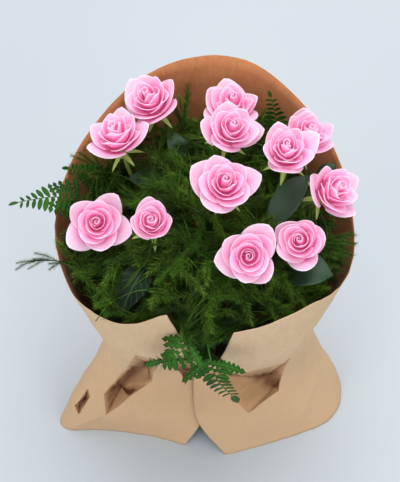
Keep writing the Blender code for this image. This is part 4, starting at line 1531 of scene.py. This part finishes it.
@dataclass
class PaperWrap:
    """One sheet of kraft paper, open in a V at the front, pinched at the waist and flared."""

    thickness: float = 0.5
    centre: tuple[float, float] = (6.0, 25.0)
    half_width: float = 163.0
    front: float = 148.0
    back: float = 166.0
    columns: int = 150
    rows: int = 64
    crowding: float = 0.55
    angles: tuple[float, ...] = (-14, -36, -62, -90, -118, -150, -180, -212, -242, -270, -301,
                                 -329, -350)
    heights: tuple[tuple[float, float], ...] = (
        (-350, 316), (-332, 320), (-318, 316), (-303, 295), (-293, 283), (-272, 277),
        (-255, 308), (-240, 337), (-221, 361), (-207, 382), (-198, 393), (-184, 396),
        (-164, 386), (-152, 373), (-132, 345), (-108, 318), (-74, 292), (-60, 278), (-46, 288),
        (-35, 296), (-26, 313), (-14, 350))
    levels: tuple[tuple[float, tuple[tuple[float, float], ...]], ...] = (
        (0, ((-18, -80), (-60, -68), (-115, -60), (-169, -53), (-148, 0), (-90, 55), (0, 82),
             (75, 80), (142, 66), (174, 12), (160, -44), (95, -74), (31, -94))),
        (38, ((4, -62), (-52, -60), (-105, -56), (-152, -38), (-134, 8), (-80, 48), (0, 64),
              (70, 62), (128, 48), (161, 12), (130, -38), (68, -66), (-3, -67))),
        (82, ((5, -18.4), (-36, -30), (-80, -35), (-124, -16), (-108, 22), (-58, 38), (0, 42),
              (58, 42), (112, 34), (144, 10), (100, -32), (44, -38), (-7, -27))),
        (140, ((-3, -50), (-48, -55), (-88, -45), (-109, -5), (-98, 45), (-58, 78), (0, 90),
               (60, 84), (106, 54), (130, 8), (103, -42), (55, -60), (6, -54))),
        (215, ((-9, -84), (-60, -85), (-108, -60), (-132, 0), (-122, 62), (-72, 114), (2, 129),
               (76, 118), (128, 68), (147, 14), (122, -55), (72, -86), (22, -89))))
    pockets: tuple[Pocket, ...] = (
        Pocket(((-71, 211), (-52, 212), (-48, 143), (-57, 75), (-83, 58), (-113, 33),
                (-115, 57), (-101, 72), (-86, 100)), ((-62, -28, 106), (-95, -28, 50)),
               (0.9, 0.0, -0.4)),
        Pocket(((5, 85), (29, 126), (64, 141), (104, 144), (94, 62), (57, 46), (30, 68)),
               ((69, -28, 74), (89, -33, 60)), (-0.5, 0.0, -0.8)),
        Pocket(((-36, 155), (-11, 221), (-5, 92), (-12, 72), (-17, 65), (-26, 86)),
               ((-20, -24, 84), (-17, -28, 67))),
        Pocket(((-134, 57), (-131, 50), (-147, 25), (-151, 35)), ((-138, -36, 39),
                                                                  (-145, -43, 29))))

    creases: tuple[Crease, ...] = (
        Crease((-114, 36), (-160, 1), 3.5), Crease((-50, 271), (-26, 272), 2.2),
        Crease((121, 224), (119, 112), -2.9), Crease((60, 46), (78, 42), 2.6),
        Crease((-124, 82), (-116, 55), 2.6), Crease((-1, 40), (1, 58), 3.2),
        Crease((21, 74), (34, 38), 2.9), Crease((-140, 60), (-160, 10), 2.6),
        Crease((146, 64), (121, 19), 2.6), Crease((-85, 206), (-108, 84), -2.2),
        Crease((92, 128), (106, 222), 1.9), Crease((-40, 62), (-62, 24), 2.2))

    def mouth(self, station: float) -> Vector:
        """Returns the point on the upper edge at a station from 0 to 12 round it."""
        angle = spline(self.angles, station)
        height = sum(self.rough_height(angle + step * 2.0) for step in range(-2, 3)) / 5.0
        turn = math.radians(angle)
        depth = self.front if math.cos(turn) > 0.0 else self.back
        return Vector((self.centre[0] + self.half_width * math.sin(turn),
                       self.centre[1] - depth * math.cos(turn), height))

    def rough_height(self, angle: float) -> float:
        """Returns the upper edge's height at an angle, straight between the table's angles."""
        angle = min(max(angle, self.heights[0][0]), self.heights[-1][0])
        for (low, low_height), (high, high_height) in zip(self.heights, self.heights[1:]):
            if low <= angle <= high:
                return low_height + (high_height - low_height) * (angle - low) / (high - low)
        return self.heights[-1][1]

    def point(self, station: float, level: float) -> Vector:
        """Returns the point at a station round the paper and a level from hem to mouth."""
        column = []
        for height, places in self.levels:
            x, y = spline([Vector(place) for place in places], station)
            column.append(Vector((x, y, height)))
        return spline(column + [self.mouth(station)], level)

    def press(self, bm: bmesh.types.BMesh, pocket: Pocket) -> None:
        """Cuts the sheet along a pocket's outline and folds what lies within to its bottom.

        Args:
            bm: The sheet.
            pocket: The pocket.
        """
        xs, zs = zip(*pocket.outline)
        behind = max(place[1] for place in pocket.crease) + 6.0

        def nearby() -> list[bmesh.types.BMFace]:
            """Lists the faces at the front of the sheet that reach into the pocket's bounds."""
            return [face for face in bm.faces
                    if min(corner.co.x for corner in face.verts) < max(xs)
                    and max(corner.co.x for corner in face.verts) > min(xs)
                    and min(corner.co.z for corner in face.verts) < max(zs)
                    and max(corner.co.z for corner in face.verts) > min(zs)
                    and face.calc_center_median().y < behind]

        for one, two in zip(pocket.outline, pocket.outline[1:] + pocket.outline[:1]):
            faces = nearby()
            edges = {edge for face in faces for edge in face.edges}
            corners = {corner for face in faces for corner in face.verts}
            across = Vector((two[1] - one[1], 0.0, one[0] - two[0])).normalized()
            bmesh.ops.bisect_plane(bm, geom=faces + list(edges) + list(corners), dist=0.3,
                                   plane_co=(one[0], 0.0, one[1]), plane_no=across)
        inside = set()
        for face in nearby():
            middle = face.calc_center_median()
            if pocket.holds(middle.x, middle.z):
                inside.add(face)
        rim = [edge for face in inside for edge in face.edges
               if len(edge.link_faces) == 2
               and sum(other in inside for other in edge.link_faces) == 1]
        ends = [bm.verts.new(place) for place in pocket.crease]
        # the crease's ends carry the fullest painted shade
        painted_shade_layer = bm.verts.layers.float["order"]
        for end in ends:
            end[painted_shade_layer] = 1.0
        bmesh.ops.delete(bm, geom=list(inside), context="FACES")
        walls = []
        for edge in rim:
            one, two = edge.verts
            lows = [min(ends, key=lambda end, v=v: (end.co - v.co).length) for v in (one, two)]
            walls.append(bm.faces.new((one, two, lows[0])))
            if lows[0] is not lows[1]:
                walls.append(bm.faces.new((two, lows[1], lows[0])))
        bmesh.ops.recalc_face_normals(bm, faces=bm.faces)
        self.rumple(bm, walls, set(rim), pocket)

    @staticmethod
    def rumple(bm: bmesh.types.BMesh, walls: Sequence[bmesh.types.BMFace],
               rim: set[bmesh.types.BMEdge], pocket: Pocket) -> None:
        """Breaks a pocket's walls into small facets, pushes some of them forwards, and paints shade
        on them, darkest near the crease and on walls that face the pocket's shade direction.

        Args:
            bm: The sheet.
            walls: The pocket's walls.
            rim: The edges round its mouth.
            pocket: The pocket.
        """
        deepest = (Vector(pocket.crease[0]) + Vector(pocket.crease[1])) / 2.0
        inner = {edge for wall in walls for edge in wall.edges} - rim
        made = bmesh.ops.subdivide_edges(bm, edges=list(inner), cuts=3, use_grid_fill=True)
        painted_shade_layer = bm.verts.layers.float["order"]
        for item in made["geom_inner"]:
            if isinstance(item, bmesh.types.BMVert):
                ridge = 1.0 - abs(noise.noise(item.co / 9.0)) * 2.5
                item.co.y -= 3.2 * max(ridge, 0.0) ** 2
                facing = sum((face.normal for face in item.link_faces), Vector()).normalized()
                # painted shade: more where a wall faces the pocket's shade direction, less away from
                # the crease
                painted_shade = facing.dot(Vector(pocket.shade)) * (-1.0 if facing.y > 0.0 else 1.0)
                painted_shade = 1.1 + painted_shade * 0.75 + 0.3 * noise.noise(item.co / 14.0)
                item[painted_shade_layer] = min(max(painted_shade - (item.co - deepest).length / 62.0, 0.0), 1.0)
        faces = {face for item in made["geom_inner"] if isinstance(item, bmesh.types.BMVert)
                 for face in item.link_faces} | {wall for wall in walls if wall.is_valid}
        # the walls take the darker copy of the paper, painted shade
        for face in faces:
            face.material_index = PaperFace.SHADED_FOLD.value

    def crumple(self, bm: bmesh.types.BMesh) -> None:
        """Gives the sheet soft waves and shallow handling creases."""
        bm.normal_update()
        for vertex in bm.verts:
            place = vertex.co
            free = smooth(88.0, 130.0, place.z) + smooth(76.0, 40.0, place.z)
            wave = noise.noise(place / 42.0) * 0.9 + noise.noise(place / 15.0) * 0.3
            ridge = 1.0 - abs(noise.noise(Vector((place.x, place.y, place.z * 0.35)) / 26.0)) * 2.0
            vertex.co = place + vertex.normal * (wave + 0.7 * max(ridge, 0.0) ** 4.0) * free

    def build(self, node: str, finishes: dict[PaperFace, bpy.types.Material]) -> None:
        """Makes the wrap.

        Args:
            node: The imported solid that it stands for.
            finishes: The material of each face.
        """
        piece = Workpiece("paper_wrap")

        def place(u: float, v: float) -> Vector:
            """Gives the sheet's point, with its columns crowded towards its two front edges."""
            turn = math.pi * (u + 1.0)
            station = 6.0 / math.pi * (turn - self.crowding * math.sin(turn))
            return self.point(station, len(self.levels) * v)

        piece.blade(place, self.columns, self.rows)
        piece.bm.normal_update()
        for crease in self.creases:
            crease.press(piece.bm)
        for pocket in self.pockets:
            self.press(piece.bm, pocket)
        bmesh.ops.recalc_face_normals(piece.bm, faces=piece.bm.faces)
        self.crumple(piece.bm)
        for vertex in piece.bm.verts:
            vertex.co.z = max(vertex.co.z, 0.0)
        outward = sum(face.normal.dot(face.calc_center_median() - Vector((0, 10, 150)))
                      for face in piece.bm.faces)
        if outward < 0.0:
            bmesh.ops.reverse_faces(piece.bm, faces=piece.bm.faces)
        thing = piece.done([finishes[face] for face in PaperFace], sharp=14.0)
        thicken(thing, self.thickness, PaperFace.INSIDE.value)
        stand_for(thing, node, "kraft_paper")


@dataclass
class Binding:
    """The twine that ties the stems: a cord wound round the bunch in one flat layer."""

    bottom: float = 74.6
    height: float = 14.6
    turns: int = 8
    radius: float = 0.85
    steps: int = 40

    def build(self, node: str, finish: bpy.types.Material) -> None:
        """Makes the binding.

        Args:
            node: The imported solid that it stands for.
            finish: The twine's material.
        """
        band = Solid(node).tree()
        points = []
        for index in range(self.turns * self.steps + 1):
            angle = math.tau * index / self.steps
            height = self.bottom + self.height * index / (self.turns * self.steps)
            way = Vector((math.cos(angle), math.sin(angle), 0.0))
            outside = way * 60.0 + Vector((0.0, 0.0, height))
            hit = band.ray_cast(outside, -way)[0]
            points.append(hit - way * (self.radius + 0.1))
        piece = Workpiece("twine_winding")
        piece.tube(points, [self.radius * (0.92 + 0.08 * math.sin(index * 1.9))
                            for index in range(len(points))], 7)
        thing = piece.done([finish])
        stand_for(thing, node, "twine")


# The studio


@dataclass(frozen=True)
class Lamp:
    """One soft lamp: where it hangs, how wide and how bright it is, and its colour."""

    name: str
    place: Point
    size: float
    power: float
    colour: Colour


@dataclass
class Studio:
    """A pale floor, soft lamps, and the camera at the photograph's angle."""

    target: Vector = field(default_factory=lambda: Vector((0.0, 0.025, 0.275)))
    elevation: float = 54.0
    distance: float = 1.6
    frame_height: float = 0.5302
    sensor: float = 36.0
    sight: float = 20.0
    floor_half: float = 6.0
    sky: Colour = (0.94, 0.96, 0.985)
    sky_strength: float = 0.74
    lamps: tuple[Lamp, ...] = (
        Lamp("ceiling", (0.15, 0.7, 2.4), 2.0, 43.0, (1.0, 0.985, 0.97)),
        Lamp("window", (-1.4, -1.5, 1.1), 1.4, 15.0, (1.0, 0.98, 0.95)),
        Lamp("fill", (1.4, -1.5, 1.2), 1.6, 16.0, (0.97, 0.99, 1.0)),
    )

    def eye(self) -> Vector:
        """Returns the camera's place, in metres."""
        slant = math.radians(self.elevation)
        back = Vector((0.0, -math.cos(slant), math.sin(slant)))
        return self.target + back * self.distance

    def build(self) -> None:
        """Makes the floor, the world, the lamps and the camera."""
        scene = bpy.context.scene
        floor = Workpiece("floor")
        bmesh.ops.create_grid(floor.bm, x_segments=1, y_segments=1,
                              size=self.floor_half / MM)
        board = floor.done([FloorFinish().make()])
        world = bpy.data.worlds.new("soft_daylight")
        world.use_nodes = True
        sky = world.node_tree.nodes["Background"]
        sky.inputs["Color"].default_value = (*self.sky, 1.0)
        sky.inputs["Strength"].default_value = self.sky_strength
        scene.world = world
        for lamp in self.lamps:
            light = bpy.data.lights.new(lamp.name, "AREA")
            light.size = lamp.size
            light.energy = lamp.power
            light.color = lamp.colour
            thing = bpy.data.objects.new(lamp.name, light)
            thing.location = lamp.place
            way = self.target - Vector(lamp.place)
            thing.rotation_euler = way.to_track_quat("-Z", "Y").to_euler()
            scene.collection.objects.link(thing)
        camera = bpy.data.cameras.new("camera")
        camera.sensor_fit = "VERTICAL"
        camera.sensor_height = self.sensor
        camera.lens = camera.sensor_height * self.distance / self.frame_height
        camera.clip_end = self.sight
        seen = bpy.data.objects.new("camera", camera)
        seen.location = self.eye()
        seen.rotation_euler = (self.target - self.eye()).to_track_quat("-Z", "Y").to_euler()
        scene.collection.objects.link(seen)
        scene.camera = seen
        scene.view_settings.view_transform = "Standard"


def make_wrap() -> None:
    """Makes the paper, with a finish for each of its faces, and the twine in its pinch."""
    kraft = {
        # the last colour of each finish is the painted shade that it takes towards the bottom
        PaperFace.OUTSIDE: KraftFinish("kraft_outside", srgb(208, 179, 146), srgb(193, 162, 126),
                                       srgb(186, 154, 120)).make(),
        # inside, the painted shade is a near-black brown that reaches higher, where the wrap is deep
        PaperFace.INSIDE: KraftFinish("kraft_inside", srgb(190, 130, 86), srgb(165, 102, 62),
                                      srgb(62, 38, 20), dim=(0.16, 0.34)).make(),
        # a darker copy of the outside: painted shade for the pockets' walls
        PaperFace.SHADED_FOLD: KraftFinish("kraft_fold_shaded", srgb(192, 154, 116), srgb(176, 136, 98),
                                    srgb(172, 132, 94)).make(),
    }
    PaperWrap().build("kraft_paper_wrap", kraft)
    Binding().build("twine_binding", TwineFinish().make())


def make_roses() -> list[Bloom]:
    """Makes the roses with their stems, and returns their blooms."""
    pink, green = PetalFinish().make(), StemFinish().make()
    blooms = []
    for number, rose in enumerate(ROSES, start=1):
        bloom = Bloom(rose, chance=random.Random(number))
        bloom.build(f"rose_{number:02d}_petals", f"rose_{number:02d}_bloom", pink)
        RoseStem(bloom).build(f"rose_{number:02d}_stalk", f"rose_{number:02d}_stem", green)
        blooms.append(bloom)
    return blooms


BARE_ROSE = 9
BARE_DEPTHS = (20.0, 34.0, 48.0)
BARE_REACH = 10.0
BROAD_LEAF = 14
LEAF_SHARES = (0.35, 0.65)
LEAF_REACH = 15.0


def find_room(blooms: Sequence[Bloom], eye: Vector) -> Room:
    """Finds where ferns may grow, so that broad leaves and one bare stem stay in sight.

    Args:
        blooms: The roses' blooms.
        eye: The viewer's place, in millimetres.

    Returns:
        The room.
    """
    shown = [(bezier(Branch.midrib(leaf), share), LEAF_REACH) for rule in BRANCHES
             for leaf in rule.leaves for share in LEAF_SHARES if leaf.half_width > BROAD_LEAF]
    bare = blooms[BARE_ROSE]
    shown += [(bare.base - bare.axis * depth, BARE_REACH) for depth in BARE_DEPTHS]
    return Room(blooms, Solid("kraft_paper_wrap").tree(), eye, shown)


def make_leaves() -> None:
    """Makes the broad leaves, which all share the veined material that is made for the first branch,
    and the fronds.
    """
    leather = BladeFinish("leaf_green", srgb(5, 20, 8), srgb(15, 42, 17), srgb(58, 88, 50),
                          7.0, 0.34, 0.2)
    for number, rule in enumerate(BRANCHES, start=1):
        Branch(rule).build(f"broad_leaves_{number:02d}", f"leaf_branch_{number:02d}",
                           leather.make() if number == 1 else bpy.data.materials["leaf_green"])
    cut_green = BladeFinish("frond_green", srgb(9, 46, 3), srgb(34, 92, 8),
                            srgb(92, 146, 46), 6.0, 0.42, 0.2).make()
    for number, rule in enumerate(FRONDS, start=1):
        Frond(rule).build(f"leatherleaf_{number:02d}", f"frond_{number:02d}", cut_green)


FERN_SEED = 12
PLUME_KINDS = ((0.12, 1.0), (0.2, 0.35), (0.28, 0.8), (0.36, 0.55), (0.24, 0.2), (0.3, 1.0),
               (0.16, 0.5))


def make_ferns(room: Room) -> None:
    """Makes the sprays of asparagus fern, from plumes that differ in droop and freshness."""
    needles = NeedleFinish().make()
    chance = random.Random(FERN_SEED)
    patterns = [Plume(droop=droop, freshness=freshness).pattern(needles, chance)
                for droop, freshness in PLUME_KINDS]
    # the deep plume's low freshness gives it the darkest green: painted shade in the foliage's depths
    deep = Plume(spacing=1.6, needle_length=10.0, needle_radius=0.48, freshness=0.1
                 ).pattern(needles, chance)
    sprays = [Spray(green_rule, f"fern_spray_{number:02d}")
              for number, green_rule in enumerate(SPRAYS, start=1)]
    for spray in sprays:
        spray.take_side_plumes(room, chance)
    Dome(sprays, room).share_out(chance)
    for number, spray in enumerate(sprays, start=1):
        spray.build(f"asparagus_{number:02d}", patterns, deep, needles)
    for pattern in (*patterns, deep):
        bpy.data.meshes.remove(pattern)


def main() -> None:
    """Builds the bouquet, piece by piece, and its studio."""
    logging.basicConfig(level=logging.INFO, format="%(message)s")
    studio = Studio()
    studio.build()
    make_wrap()
    room = find_room(make_roses(), studio.eye() / MM)
    make_leaves()
    make_ferns(room)


if __name__ == "__main__":
    main()
